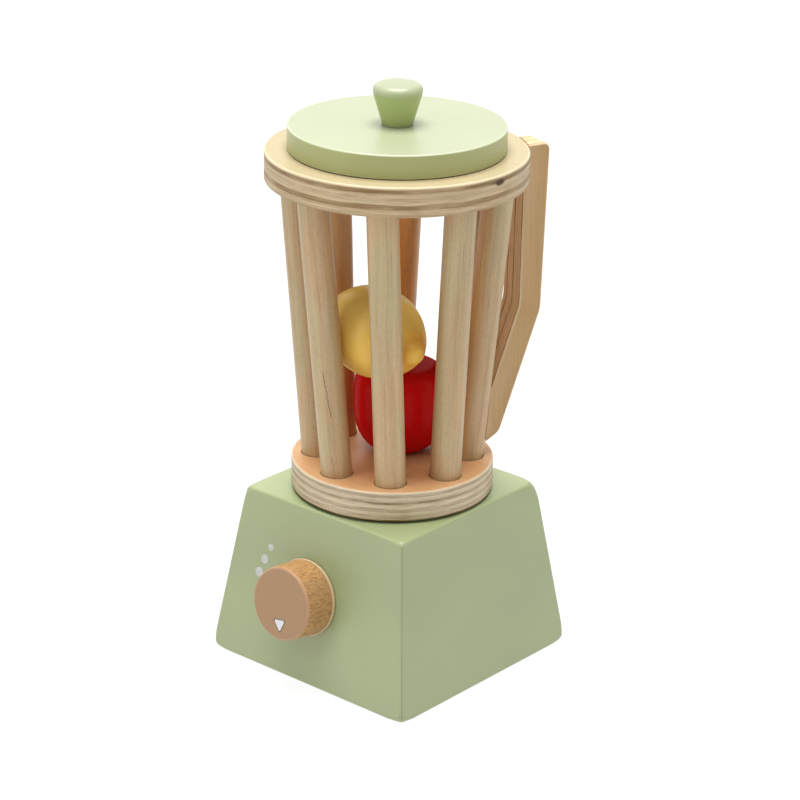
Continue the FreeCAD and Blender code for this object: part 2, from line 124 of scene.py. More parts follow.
class JugSizes(bpy.types.PropertyGroup):
    ring_hole: length("Ring hole", "Width of the hole in the top ring", 0.062)
    ply_rounding: length("Ply rounding", "Rounding of the plywood edges", 0.0008)
    boss_recess: length("Boss recess", "Width of the recess under the disc", 0.0328)
    recess_depth: length("Recess depth", "Depth of the recess under the disc", 0.00425)
    rod_width: length("Rod width", "Diameter of the rods", 0.012)
    foot_circle: length("Foot circle", "Circle of the rods' centres on the disc", 0.059)
    head_circle: length("Head circle", "Circle of the rods' centres at the ring", 0.078)
    socket_depth: length("Socket depth", "How deep the rods enter the plywood", 0.007)
    socket_gap: length("Socket gap", "Gap round the rods at their sockets", 0.0003)
    first_azimuth: turn("First azimuth", "Azimuth of the first rod at the ring", 33.4)
    twist: turn("Twist", "How far the feet are turned past the heads", 6.3)
    rod_count: IntProperty(name="Rods", description="Number of rods", default=8, min=3, max=24)
    pale_ply: tint("Pale ply", "Light plies of the plywood", (0.655, 0.495, 0.30))
    brown_ply: tint("Brown ply", "Dark plies of the plywood", (0.20, 0.11, 0.033))
    grey_ply: tint("Grey ply", "Cool tone of some plies", (0.48, 0.385, 0.25))
    disc_ply: tint("Disc ply", "Light plies of the disc", (0.69, 0.575, 0.39))
    disc_grey: tint("Disc grey", "Cool tone of some of the disc's plies", (0.52, 0.45, 0.325))
    veneer: tint("Veneer", "Face veneer of the ring", (0.50, 0.405, 0.235))
    disc_veneer: tint("Disc veneer", "Face veneer of the disc inside the jug", (0.78, 0.44, 0.205))
    rod: tint("Rod", "Pale hardwood of the rods", (0.60, 0.445, 0.235))
    # painted shade: the warmer colour laid on the rods' sides that face into the jug
    rod_painted_shade: tint("Shaded rod", "Warmer wood where rods face into the jug", (0.90, 0.36, 0.06))
    rod_grain: tint("Rod grain", "Darker grain of the rods", (0.37, 0.23, 0.105))


class HandleSizes(bpy.types.PropertyGroup):
    thickness: length("Thickness", "Thickness of the handle's plate", 0.0122)
    middle: length("Middle", "Distance of the plate's middle from the jug's axis", 0.014107)
    azimuth: turn("Azimuth", "Way the handle points", 162.2)
    edge_rounding: length("Edge rounding", "Rounding of the gripped edges", 0.0008)
    joint_gap: length("Joint gap", "Gap at the two glued ends", 0.00015)
    face: tint("Face", "Face veneer of the handle", (0.475, 0.288, 0.117))
    inner: tint("Inner plies", "Light plies along the handle's edges", (0.80, 0.53, 0.285))
    face_grain: tint("Face grain", "Darker grain of the handle", (0.24, 0.12, 0.05))


class LidSizes(bpy.types.PropertyGroup):
    edge_rounding: length("Edge rounding", "Rounding of the lid's edges", 0.0006)
    knob_foot: length("Knob foot", "Width of the lid's knob at its foot", 0.0116)
    knob_top: length("Knob top", "Width of the lid's knob at its top", 0.0208)
    crown_rounding: length("Crown rounding", "Rounding of the knob's top", 0.0040)
    plug_chamfer: length("Plug chamfer", "Chamfer under the centring plug", 0.001)


class KnobSizes(bpy.types.PropertyGroup):
    width: length("Width", "Width of the control knob", 0.0296)
    depth: length("Depth", "Depth of the control knob", 0.0134)
    taper: length("Taper", "How much the knob's radius shrinks towards its face", 0.0004)
    running_gap: length("Running gap", "Gap between washer and panel", 0.0003)
    washer_width: length("Washer width", "Width of the washer", 0.0304)
    washer_depth: length("Washer depth", "Thickness of the washer", 0.0012)
    face_rounding: length("Face rounding", "Rounding of the knob's face", 0.001)
    wood: tint("Wood", "Beech of the knob", (0.385, 0.222, 0.113))
    fleck: tint("Fleck", "Short dark flecks in the beech", (0.26, 0.11, 0.045))
    washer: tint("Washer", "Cream paint of the washer", (0.66, 0.48, 0.26))


class FruitSizes(bpy.types.PropertyGroup):
    lemon_axis_azimuth: turn("Lemon azimuth", "Way the lemon's axis points", 80.8)
    lemon_axis_rise: turn("Lemon rise", "Rise of the lemon's axis", -4.4)
    lemon_width: length("Lemon width", "Width of the lemon's belly", 0.035)
    lemon_length: length("Lemon length", "Length from tip to tip", 0.0533)
    apple: tint("Apple", "Crimson lacquer", (0.57, 0.0065, 0.006))
    lemon: tint("Lemon", "Lemon-yellow lacquer", (0.88, 0.57, 0.115))
    # painted highlight: the paler yellow laid over the lemon's upper half
    lemon_painted_highlight: tint("Lemon crown", "Paler lacquer on top of the lemon", (1.0, 0.70, 0.19))
    lemon_tip: tint("Lemon tip", "Orange shade round the nub", (0.88, 0.40, 0.055))


class StudioSettings(bpy.types.PropertyGroup):
    lens: FloatProperty(name="Lens", description="Focal length in millimetres", default=125.28)
    distance: length("Distance", "Distance from the camera to its target", 1.08171)
    azimuth: turn("Azimuth", "Camera's place round the toy, from -Y towards +X", 40.66)
    elevation: turn("Elevation", "Camera's height above the level", 21.64)
    roll: turn("Roll", "Turn of the camera about its own axis", 0.95)
    target: FloatVectorProperty(name="Target", description="Point that the camera looks at",
                                default=(0.00202, 0.00173, 0.10463), subtype="TRANSLATION")
    floor: tint("Floor", "Pale floor", (0.08, 0.08, 0.08))
    sky: FloatProperty(name="Sky", description="Strength of the even light", default=0.22)
    overhead: FloatProperty(name="Overhead", description="Strength of the light from above",
                            default=4.75)


# ---------------------------------------------------------------- shapes and marks, in mm

# distances from each side of the housing at which its block is cut
NET_CUTS = (0.1, 0.2, 0.3, 0.45, 0.6, 0.75, 0.9, 1.05, 1.25, 1.5, 1.8, 2.2, 2.7, 3.3, 4.0, 4.8, 5.8,
            7.0, 8.5, 10.5, 13.0, 17.0, 23.0, 31.0)
# share of a sanded corner's rounding over which it stays whole
WHOLE_ROUNDING = 0.7
# the housing's front upper corner, where the edges are lightened most: wear and a painted highlight
WORN_AND_HIGHLIT_CORNER = (40.0, -40.0, 69.0)

# printed dots: name, place across and up the front panel, radius
DOTS = (("low", -24.18, 48.66, 1.5), ("middle", -26.81, 43.03, 1.9), ("high", -28.91, 37.25, 2.0))
# the pointer's layers: name, reach from its middle, height above the face, colour
POINTER_LAYERS = (("outline", 3.85, 0.05, (0.20, 0.13, 0.09)),
                  ("white", 3.15, 0.09, (0.72, 0.72, 0.74)))
POINTER_PLACE = (0.55, -8.05)
POINTER_TURN = math.radians(-51)

# plies: depth of the lower side, then brownness and greyness from 0 to 1
RING_PLIES = ((0.7, 0.0, 0.0), (1.1, 0.35, 0.1), (2.5, 0.90, 0.35), (3.0, 0.25, 0.4), (3.7, 0.0, 0.4),
              (5.6, 0.15, 0.5), (6.7, 0.0, 0.4), (8.6, 0.80, 0.2), (9.3, 0.30, 0.2), (10.0, 0.08, 0.3),
              (10.7, 0.20, 0.4), (11.6, 0.55, 0.2))
# the disc's lowest ply is fully brown, partly as painted shade for the dark gap under the disc
DISC_PLIES = ((0.6, 0.0, 0.1), (1.0, 0.20, 0.5), (2.1, 0.38, 0.7), (3.4, 0.0, 0.3), (3.9, 0.30, 0.4),
              (4.8, 0.65, 0.3), (5.3, 0.25, 0.2), (6.6, 0.0, 0.2), (8.1, 0.38, 0.4), (9.3, 0.05, 0.3),
              (10.6, 0.42, 0.3), (11.0, 0.20, 0.1), (11.85, 1.0, 0.2))
HANDLE_PLIES = ((0.5, 0.0, 0.0), (1.1, 1.0, 0.0), (2.4, 0.0, 0.2), (5.2, 0.0, 0.1), (5.8, 1.0, 0.0),
                (9.1, 0.0, 0.1), (9.7, 1.0, 0.0), (12.2, 0.0, 0.0))
BOARD_PLIES = ((0.9, 0.1, 0.0), (2.4, 0.8, 0.2), (3.7, 0.1, 0.2), (5.1, 0.8, 0.2), (6.0, 0.1, 0.0))
# thickness of the plywood collar behind the control knob
COLLAR = 5.0
# dark spots in the plywood edges: centre, radii, strength
DISC_STREAKS = (((21.7, 32.9, 4.5), (6.0, 4.0, 0.5), 0.45), ((34.6, 19.0, 4.3), (3.4, 5.6, 0.45), 0.4))
RING_KNOT = (((50.0, 0.1, 2.6), (5.5, 2.3, 1.15), 1.0), ((49.5, 1.5, 2.3), (4.0, 5.0, 0.6), 0.4))

# the lid's painted light: share of the height from LID_FOOT up by LID_RISE, then tint; the sides get an
# olive painted reflection of the ring, the top faces a paler, bluer painted sheen
LID_FOOT = 206.0
LID_RISE = 26.0
LID_PAINTED_LIGHT = ((0.0, (1.08, 0.99, 0.72)), (0.35, (1.08, 0.99, 0.72)), (0.368, (1.17, 1.10, 1.33)),
              (0.374, (1.17, 1.10, 1.33)), (0.40, (1.10, 1.17, 0.74)), (0.80, (1.10, 1.17, 0.76)),
              (0.95, (1.08, 1.02, 1.20)))

# how much painted shade each rod shows on its side facing into the jug: a warmer, more saturated wood
# colour standing in for bounced light and shade
ROD_PAINTED_SHADE = (0.12, 0.35, 0.50, 0.40, 1.0, 0.40, 0.35, 0.45)
# cracks of the eighth rod in its own wood space: the side it lies on, where it starts and stops
# (across, along), then how dark and how wide it is
CRACKS = ((136.0, (250.6, 1732.7), (249.0, 1713.7), 0.85, 0.14),
          (136.0, (250.2, 1697.0), (249.3, 1688.5), 0.60, 0.10))

# the handle's corners: reach from the jug's axis, height, rounding
HANDLE_OUTLINE = ((44.6, 206.2, 0.0), (55.888, 206.2, 3.0), (54.14, 139.45, 2.3), (36.48, 90.951, 2.2),
                  (29.672, 88.2, 0.0), (30.492, 104.9, 0.0), (44.219, 142.6, 2.3))
# its glued ends: within this reach, above the first height or below the second
RIM_REACH, RIM_HEIGHT = 46.7, 194.0
SEAT_REACH, SEAT_HEIGHT = 33.5, 105.0
COPED_ROD = 3

# cages of the fruit: shares of the half width and half length, from the tip to the belly
LEMON_CAGE = ((0.0, 1.0), (0.150, 0.994), (0.292, 0.905), (0.325, 0.850), (0.480, 0.785),
              (0.675, 0.626), (0.873, 0.426), (0.982, 0.214), (1.019, 0.0))
# and shares of the half width and the height, from the foot to the crown
APPLE_CAGE = ((0.0, 0.040), (0.247, 0.013), (0.440, -0.006), (0.680, 0.050), (0.850, 0.150),
              (0.960, 0.280), (1.006, 0.430), (1.016, 0.580), (1.010, 0.725), (0.974, 0.855),
              (0.868, 0.953), (0.620, 0.992), (0.256, 0.985), (0.276, 0.893), (0.0, 0.890))
CAGE_STEPS = 32


# ---------------------------------------------------------------- shader arithmetic

def toned(colour, *shares):
    """A colour made lighter or darker by one share, or by one for each channel."""
    return tuple(min(1.0, c * share) for c, share in zip(colour, shares * 3))


def triple(value):
    """Three equal numbers from one; anything else stays as it is."""
    return (value,) * 3 if isinstance(value, float) else value


class Wire:
    """A shader socket that takes part in Python arithmetic."""

    def __init__(self, finish, socket):
        self.finish = finish
        self.socket = socket

    def arithmetic(self, operation, first, second=0.0):
        """One Math node."""
        return self.finish.node("ShaderNodeMath", {"operation": operation}, {0: first, 1: second})

    def __add__(self, other):
        return self.arithmetic("ADD", self, other)

    def __sub__(self, other):
        return self.arithmetic("SUBTRACT", self, other)

    def __rsub__(self, other):
        return self.arithmetic("SUBTRACT", other, self)

    def __mul__(self, other):
        return self.arithmetic("MULTIPLY", self, other)

    def __abs__(self):
        return self.arithmetic("ABSOLUTE", self)

    __radd__ = __add__


class Finish:
    """The node tree of one finish or of the sky."""

    def __init__(self, name, kind="materials"):
        self.holder = getattr(bpy.data, kind).new(name)
        self.holder.use_nodes = True
        self.tree = self.holder.node_tree
        self.tree.nodes.clear()

    def node(self, kind, settings=None, inputs=None, output=0):
        """Add a node, set it up, feed its inputs and give back one of its outputs."""
        made = self.tree.nodes.new(kind)
        for name, value in (settings or {}).items():
            setattr(made, name, value)
        for key, value in (inputs or {}).items():
            if isinstance(value, Wire):
                self.tree.links.new(value.socket, made.inputs[key])
            else:
                made.inputs[key].default_value = value
        return Wire(self, made.outputs[output]) if made.outputs else None

    def attribute(self, name, output="Fac"):
        """A value that is stored on the mesh."""
        return self.node("ShaderNodeAttribute", {"attribute_name": name}, output=output)

    def grain(self):
        """Millimetres in the wood's own space, with Z along the grain or down through the plies."""
        return self.attribute("grain", "Vector")

    def position(self):
        """Millimetres in the toy's space."""
        return self.scaled(self.node("ShaderNodeTexCoord", output="Object"), 1000.0)

    def vector(self, operation, first, second=(0.0, 0.0, 0.0), output=0):
        """One Vector Math node."""
        inputs = {0: first, 1: triple(second)}
        return self.node("ShaderNodeVectorMath", {"operation": operation}, inputs, output)

    def scaled(self, vector, factors):
        """A vector stretched along its three axes."""
        return self.vector("MULTIPLY", vector, factors)

    def moved(self, vector, shift):
        """A vector moved by a fixed amount or by another vector."""
        return self.vector("ADD", vector, shift)

    def part(self, vector, axis):
        """One component of a vector."""
        return self.node("ShaderNodeSeparateXYZ", None, {0: vector}, axis)

    def noise(self, vector, factors, detail=3.0, roughness=0.55, distortion=0.0, output=0):
        """Noise from 0 to 1, with its scale given per millimetre along each axis."""
        inputs = {"Vector": self.scaled(vector, factors), "Scale": 1.0, "Detail": detail,
                  "Roughness": roughness, "Distortion": distortion}
        return self.node("ShaderNodeTexNoise", None, inputs, output)

    def step(self, value, low, high):
        """A soft step from 0 at low to 1 at high."""
        inputs = {"Value": value, "From Min": low, "From Max": high}
        settings = {"interpolation_type": "SMOOTHSTEP", "clamp": True}
        return self.node("ShaderNodeMapRange", settings, inputs)

    def colour(self, value):
        """A colour as a socket takes it."""
        return value if isinstance(value, Wire) else (*value[:3], 1.0)

    def mix(self, factor, first, second, blend="MIX"):
        """Blend two colours."""
        settings = {"data_type": "RGBA", "blend_type": blend, "clamp_factor": True}
        inputs = {0: factor, 6: self.colour(first), 7: self.colour(second)}
        return self.node("ShaderNodeMix", settings, inputs, 2)

    def layered(self, colour, *layers):
        """Lay tones over a colour, each where its value steps up: (value, low, high, share, tone)."""
        for value, low, high, share, tone in layers:
            colour = self.mix(self.step(value, low, high) * share, colour, tone)
        return colour

    def ramp(self, value, stops):
        """A colour that follows a value from 0 to 1."""
        made = self.node("ShaderNodeValToRGB", None, {0: value})
        elements = made.socket.node.color_ramp.elements
        while len(elements) < len(stops):
            elements.new(1.0)
        for element, (position, colour) in zip(elements, stops):
            element.position = position
            element.color = (*colour, 1.0)
        return made

    def blot(self, vector, centre, radii, blur=0.35):
        """A soft-edged spot: 1 inside an ellipsoid, 0 outside."""
        away = self.moved(vector, tuple(-c for c in centre))
        away = self.scaled(away, tuple(1.0 / r for r in triple(radii)))
        return 1.0 - self.step(self.vector("LENGTH", away, output=1), 1.0 - blur, 1.0 + blur)

    def bump(self, height, depth, strength=0.5):
        """A normal from a height of 0 to 1, with its depth in millimetres."""
        inputs = {"Strength": strength, "Distance": depth * MM, "Height": height}
        return self.node("ShaderNodeBump", None, inputs)

    def surface(self, base, roughness, normal=None, coat=None, **constants):
        """Close the tree with one principled shader; a coat is its weight and its roughness."""
        inputs = {"Base Color": self.colour(base), "Roughness": roughness, **constants}
        if normal:
            inputs["Normal"] = normal
        if coat:
            inputs["Coat Weight"], inputs["Coat Roughness"] = coat
        shader = self.node("ShaderNodeBsdfPrincipled", None, inputs)
        self.node("ShaderNodeOutputMaterial", None, {"Surface": shader})
        return self.holder


# ---------------------------------------------------------------- finishes

def paint_finish(name, paint, worn, mitred=False, depths=None):
    """Satin paint over wood: roller texture, telegraphed grain, rubbed edges with a painted edge
    highlight, mitre seams; a painted lighter top face on the housing, painted light by height on the
    lid.
    """
    f = Finish(name)
    place = f.position()
    height = f.part(place, 2)
    roller = f.noise(place, 0.9, 4.0, 0.6)
    fibres = f.noise(place, (1.6, 1.6, 0.09), 3.0, 0.6)
    cloud = f.step(f.noise(place, (0.02, 0.02, 0.03), 2.0), 0.3, 0.7)
    deep = toned(paint, 0.90)
    colour = f.mix(cloud * 0.5 + 0.5, deep, toned(paint, 1.02))
    colour = f.layered(colour, (roller, 0.35, 0.75, 0.16, deep), (fibres, 0.58, 0.78, 0.16, deep))
    # painted light on the lid: its colour is multiplied by a tint that follows the height
    if depths:
        share = (height - LID_FOOT) * (1.0 / LID_RISE)
        colour = f.mix(1.0, colour, f.ramp(share, depths), "MULTIPLY")
    # edges lightened towards the pale paint: the random rubs are wear; the step above 60 mm is a
    # painted highlight along the top edges, and it covers every edge of the lid
    edge = f.attribute("edge")
    rub = f.noise(place, 0.25, 5.0, 0.7)
    wear_and_highlight = 0.10 + f.step(height, 60.0, 67.0) * 0.26 + f.step(rub, 0.60, 0.70) * 0.12
    colour = f.mix(edge * wear_and_highlight, colour, worn)
    specks = f.noise(place, 2.3, 1.0)
    colour = f.layered(colour, (specks, 0.74, 0.78, 0.14, toned(paint, 0.7)))
    if mitred:
        # painted light: the housing's top face is made about a sixth lighter than its sides
        top = HOUSING_TOP / MM
        lighter = f.mix(1.0, colour, (1.17, 1.19, 1.15), "MULTIPLY")
        colour = f.mix(f.step(height, top - 0.8, top - 0.05), colour, lighter)
        # paler spot along the front upper corner's edges: wear and a painted highlight
        near = f.blot(place, WORN_AND_HIGHLIT_CORNER, 6.0, 0.7)
        colour = f.mix(near * f.step(edge, 0.55, 1.0) * f.step(rub, 0.40, 0.55), colour, worn)
        away = abs(abs(f.part(place, 0)) - abs(f.part(place, 1)))
        seam = (1.0 - f.step(away, 0.08, 0.30)) * (1.0 - f.step(height, top - 2.0, top - 1.0))
        colour = f.mix(seam * 0.55, colour, toned(paint, 0.35))
    peel = f.noise(place, 1.1, 2.0, 0.5)
    bump = f.bump(peel + fibres * 0.35 + roller * 0.2, 0.030)
    return f.surface(colour, 0.36 + roller * 0.10, bump, (0.30, 0.30))


def rod_finish(name, jug, cracks=()):
    """Sealed pale hardwood with straight grain, pores, cool and warm patches, a few cracks, and painted
    shade on the sides facing into the jug.
    """
    f = Finish(name)
    grain = f.grain()
    pale, dark = jug.rod, jug.rod_grain
    wide = f.noise(grain, (0.20, 0.20, 0.012), 3.0, 0.5)
    bands = f.noise(grain, (0.8, 0.8, 0.018), 3.0, 0.6, 0.4)
    fibres = f.noise(grain, (3.2, 3.2, 0.07), 4.0, 0.65)
    sanding = f.noise(grain, (2.2, 2.2, 1.0), 3.0, 0.6)
    pores = f.step(f.noise(grain, (3.6, 3.6, 0.60), 2.0, 0.5), 0.63, 0.72)
    hairs = f.step(f.noise(grain, (1.25, 1.25, 0.028), 1.0, 0.4), 0.735, 0.755)
    warm = f.step(f.noise(grain, (0.10, 0.10, 0.03), 2.0), 0.35, 0.65)
    patches = f.mix(warm, toned(pale, 0.93, 1.03, 1.08), toned(pale, 1.05, 0.95, 0.98))
    # painted shade: the stored tone blends towards the warm colour where a rod faces into the jug
    base = f.mix(f.attribute("tone"), patches, jug.rod_painted_shade)
    shade = f.step(wide, 0.3, 0.72) * 0.30 + f.step(bands, 0.42, 0.72) * 0.28
    shade = shade + f.step(fibres, 0.35, 0.8) * 0.34 + f.step(sanding, 0.42, 0.8) * 0.26
    colour = f.mix(shade, base, dark)
    colour = f.mix(pores * 0.50, colour, toned(dark, 0.60))
    colour = f.mix(hairs * 0.45, colour, toned(dark, 0.45))
    height = fibres * 0.5 + sanding * 0.3 - pores * 0.6 - hairs * 0.8
    jitter = (f.noise(grain, 0.7) - 0.5) * 0.9
    along = f.part(grain, 2)
    for side, start, stop, depth, width in cracks:
        lean = (stop[0] - start[0]) / (stop[1] - start[1])
        away = f.part(grain, 0) - along * lean + (lean * start[1] - start[0]) + jitter
        line = 1.0 - f.step(abs(away), width * 0.5, width * 1.6)
        line = line * f.step(along, stop[1] - 1.0, stop[1] + 1.5)
        line = line * (1.0 - f.step(along, start[1] - 1.5, start[1] + 1.0))
        line = line * f.step(f.part(grain, 1), side, side + 1.0)
        colour = f.mix(line * depth, colour, toned(dark, 0.30))
        height = height - line * 1.5
    return f.surface(colour, 0.42 + fibres * 0.14, f.bump(height, 0.05), (0.25, 0.25))


def ply_finish(name, plies, tones, blots=(), turned=False, thickness=None):
    """Sealed plywood in four tones: face veneer, pale, brown and grey plies."""
    f = Finish(name)
    veneer, pale, brown, grey = tones
    thickness = thickness or plies[-1][0]
    grain = f.grain()
    depth = f.part(grain, 2)
    edgewise = f.scaled(grain, (0.05, 0.6, 1.0))
    if turned:
        around = f.vector("NORMALIZE", f.scaled(grain, (1.0, 1.0, 0.0)))
        edgewise = f.moved(f.scaled(around, 3.0), f.scaled(grain, (0.0, 0.0, 1.0)))
    wave = f.noise(edgewise, (0.9, 0.9, 0.02), 2.0)
    ragged = f.noise(edgewise, (6.0, 6.0, 0.6), 3.0, 0.6)
    share = (depth + (wave - 0.5) * 0.5 + (ragged - 0.5) * 0.22) * (1.0 / thickness)
    stops = []
    top = 0.0
    for bottom, brownness, greyness in plies:
        for edge in (top + 0.06, bottom - 0.06):
            stops.append((min(1.0, max(0.0, edge / thickness)), (brownness, greyness, 0.0)))
        top = bottom
    layer = f.ramp(share, stops)
    brownness, greyness = f.part(layer, 0), f.part(layer, 1)
    patch = f.noise(edgewise, (1.1, 1.1, 0.25), 2.0, 0.5)
    lines = f.noise(edgewise, (1.6, 1.6, 2.6), 4.0, 0.65)
    pores = f.step(f.noise(edgewise, (14.0, 14.0, 3.4), 2.0, 0.5), 0.62, 0.74)
    base = f.mix(greyness, pale, grey)
    base = f.mix(brownness * (0.6 + f.step(patch, 0.35, 0.65) * 0.4), base, brown)
    base = f.layered(base, (lines, 0.46, 0.68, 0.36, toned(brown, 0.85)),
                     (lines, 0.52, 0.30, 0.28, toned(pale, 1.15)))
    base = f.mix(pores * (0.15 + brownness * 0.35), base, toned(brown, 0.5))
    on_face = 1.0 - f.step(depth, 0.08, 0.30)
    along = f.noise(grain, (0.035, 1.1, 1.0), 4.0, 0.6)
    fine = f.noise(grain, (0.35, 3.2, 3.0), 3.0, 0.6)
    face = f.layered(veneer, (along, 0.38, 0.72, 0.55, toned(veneer, 0.80)),
                     (fine, 0.50, 0.80, 0.45, toned(veneer, 0.72)))
    colour = f.mix(on_face, base, face)
    for centre, radii, strength in blots:
        jolt = f.moved(f.noise(grain, (0.5, 0.5, 1.6), 3.0, 0.5, output="Color"), -0.5)
        torn = f.moved(grain, f.scaled(jolt, (1.6, 1.6, 0.7)))
        colour = f.mix(f.blot(torn, centre, radii) * strength, colour, (0.055, 0.024, 0.009))
    # painted highlight: the rounded plywood edges are lightened, on turned boards only on their upper
    # half
    lit = 1.0 - f.step(depth, thickness * 0.4, thickness * 0.6) if turned else 1.0
    colour = f.mix(f.attribute("edge") * 0.40 * lit, colour, (0.86, 0.74, 0.52))
    bump = f.bump(lines * 0.6 + fine * 0.4 - pores * 0.5, 0.06)
    return f.surface(colour, 0.42 + fine * 0.15, bump, (on_face * 0.28 + 0.02, 0.25),
                     **{"Specular IOR Level": 0.25})


def ply_tones(jug):
    """The tones of the ring and of the small boards."""
    return jug.veneer, jug.pale_ply, jug.brown_ply, jug.grey_ply


def board_finish(name, jug, thickness=None):
    """Plain plywood of the small boards."""
    return ply_finish(name, BOARD_PLIES, ply_tones(jug), thickness=thickness)


def beech_finish(name, knob, face=None):
    """Oiled beech: dense short flecks along the grain; its end face is cloudy and quiet."""
    f = Finish(name)
    grain = f.grain()
    wood, fleck = knob.wood, knob.fleck
    broad = f.noise(grain, (0.10, 0.16, 0.03), 2.0)
    rings = f.noise(grain, (0.14, 0.9, 0.02), 2.0, 0.5, 1.6)
    flecks = f.step(f.noise(grain, (1.5, 1.5, 0.42), 4.0, 0.65), 0.49, 0.60)
    fine = f.noise(grain, (6.0, 6.0, 0.5), 3.0, 0.6)
    colour = f.layered(toned(wood, 1.58, 1.50, 1.0), (broad, 0.3, 0.7, 0.5, wood))
    strength = 0.60
    if face:
        end = f.step(f.part(grain, 2), face - 0.7, face - 0.2)
        colour = f.mix(end, colour, wood)
        strength = 0.66 - end * 0.50
    colour = f.layered(colour, (rings, 0.45, 0.70, 0.20, toned(wood, 0.78)),
                       (fine, 0.45, 0.75, 0.16, fleck))
    colour = f.mix(flecks * strength, colour, fleck)
    colour = f.mix(f.attribute("edge") * 0.20, colour, (0.72, 0.40, 0.28))
    bump = f.bump(fine * 0.4 - flecks * strength, 0.05)
    return f.surface(colour, 0.48 + fine * 0.1, bump, (0.15, 0.3))


def lacquer_finish(name, colour, gloss, spots=()):
    """Thick lacquer over a turned form, tinted at each spot of (centre, radius, strength, shade), such
    as a painted highlight.
    """
    f = Finish(name)
    place = f.position()
    cloud = f.noise(place, 0.09, 2.0)
    brush = f.noise(place, 0.5, 4.0, 0.6)
    base = f.layered(colour, (cloud, 0.35, 0.7, 0.25, toned(colour, 0.8)),
                     (brush, 0.45, 0.75, 0.14, toned(colour, 0.7)))
    for centre, radii, strength, shade in spots:
        base = f.mix(f.blot(place, centre, radii, 0.6) * strength, base, shade)
    dust = f.step(f.noise(place, 2.6, 1.0), 0.75, 0.79)
    bump = f.bump(f.noise(place, 0.55, 2.0, 0.5) + dust * 0.5, 0.05, 0.4)
    return f.surface(base, 0.34 + cloud * 0.08 + dust * 0.2, bump, (gloss, 0.2),
                     **{"Specular IOR Level": 0.0})


def flat_paint_finish(name, colour):
    """Thin even paint with a slightly broken surface, for small marks and trim."""
    f = Finish(name)
    patch = f.noise(f.position(), 0.8, 4.0, 0.6)
    base = f.layered(colour, (patch, 0.4, 0.75, 0.30, toned(colour, 0.75)))
    return f.surface(base, 0.45 + patch * 0.15, f.bump(patch, 0.02))


def zinc_finish(name):
    """Bright zinc plate with fine turning marks."""
    f = Finish(name)
    brushed = f.noise(f.position(), (2.0, 2.0, 9.0), 3.0)
    base = f.mix(brushed, (0.48, 0.49, 0.51), (0.66, 0.67, 0.68))
    return f.surface(base, 0.28 + brushed * 0.2, f.bump(brushed, 0.01), Metallic=1.0)


def floor_finish(name, colour):
    """Matte pale floor with an even, faintly clouded tone."""
    f = Finish(name)
    cloud = f.noise(f.position(), 0.002, 2.0)
    base = f.layered(colour, (cloud, 0.3, 0.7, 0.05, toned(colour, 0.95)))
    return f.surface(base, 0.7, **{"Emission Color": WHITE, "Emission Strength": 0.92})


# ---------------------------------------------------------------- meshes

def polar(radius, azimuth, height=0.0):
    """A point about the jug's axis; azimuths start at -Y and turn towards +X."""
    return Vector((radius * math.sin(azimuth), -radius * math.cos(azimuth), height))


def rounded(bm, geom, offset, segments, affect="EDGES"):
    """Round edges or corners."""
    bmesh.ops.bevel(bm, geom=geom, offset=offset, offset_type="OFFSET", segments=segments,
                    profile=0.5, affect=affect, material=-1)


def welded(bm):
    """Join points that coincide and turn all faces outwards."""
    bmesh.ops.remove_doubles(bm, verts=bm.verts, dist=WELD)
    bmesh.ops.recalc_face_normals(bm, faces=bm.faces)


def placed(bm, way, place):
    """Turn a form that stands along Z to another way and move it there."""
    bmesh.ops.rotate(bm, verts=bm.verts, cent=(0, 0, 0),
                     matrix=UP.rotation_difference(way).to_matrix())
    bmesh.ops.translate(bm, verts=bm.verts, vec=place)


def outlined(bm, outline, closed, segments):
    """Join (point, rounding) corners by edges and round them."""
    corners = [bm.verts.new(point) for point, rounding in outline]
    following = corners[1:] + corners[:1] if closed else corners[1:]
    for start, stop in zip(corners, following):
        bm.edges.new((start, stop))
    for corner, (point, rounding) in zip(corners, outline):
        if rounding:
            rounded(bm, [corner], rounding, segments, "VERTICES")


def lathe(outline, closed=False, steps=LATHE_STEPS):
    """Spin an outline of (radius, height, rounding) corners about Z."""
    bm = bmesh.new()
    outlined(bm, [((radius, 0, height), rounding) for radius, height, rounding in outline],
             closed, ROUND_STEPS)
    bmesh.ops.spin(bm, geom=bm.verts[:] + bm.edges[:], axis=UP, cent=(0, 0, 0), dvec=(0, 0, 0),
                   angle=math.tau, steps=steps, use_merge=True, use_normal_flip=False,
                   use_duplicate=False)
    welded(bm)
    return bm


def prism(sides, radius, depth):
    """An upright prism about the origin, and its edges that run up it."""
    bm = bmesh.new()
    bmesh.ops.create_cone(bm, cap_ends=True, cap_tris=False, segments=sides, radius1=radius,
                          radius2=radius, depth=depth)
    return bm, [edge for edge in bm.edges
                if abs(edge.verts[0].co.z - edge.verts[1].co.z) > depth / 2]


def slice_off(bm, point, normal):
    """Cut away what lies beyond a plane and close the cut."""
    cut = bmesh.ops.bisect_plane(bm, geom=bm.verts[:] + bm.edges[:] + bm.faces[:], dist=WELD,
                                 plane_co=point, plane_no=normal, clear_outer=True)
    rim = [item for item in cut["geom_cut"] if isinstance(item, bmesh.types.BMEdge)]
    bmesh.ops.holes_fill(bm, edges=rim, sides=0)


def rod(start, stop, width, overrun=0.0, chamfer=0.0, sides=72):
    """A round rod between two points, longer by an overrun at both ends."""
    bm, upright = prism(sides, width / 2, (stop - start).length + 2 * overrun)
    if chamfer:
        rounded(bm, [edge for edge in bm.edges if edge not in upright], chamfer, 3)
    placed(bm, (stop - start).normalized(), (start + stop) / 2)
    return bm


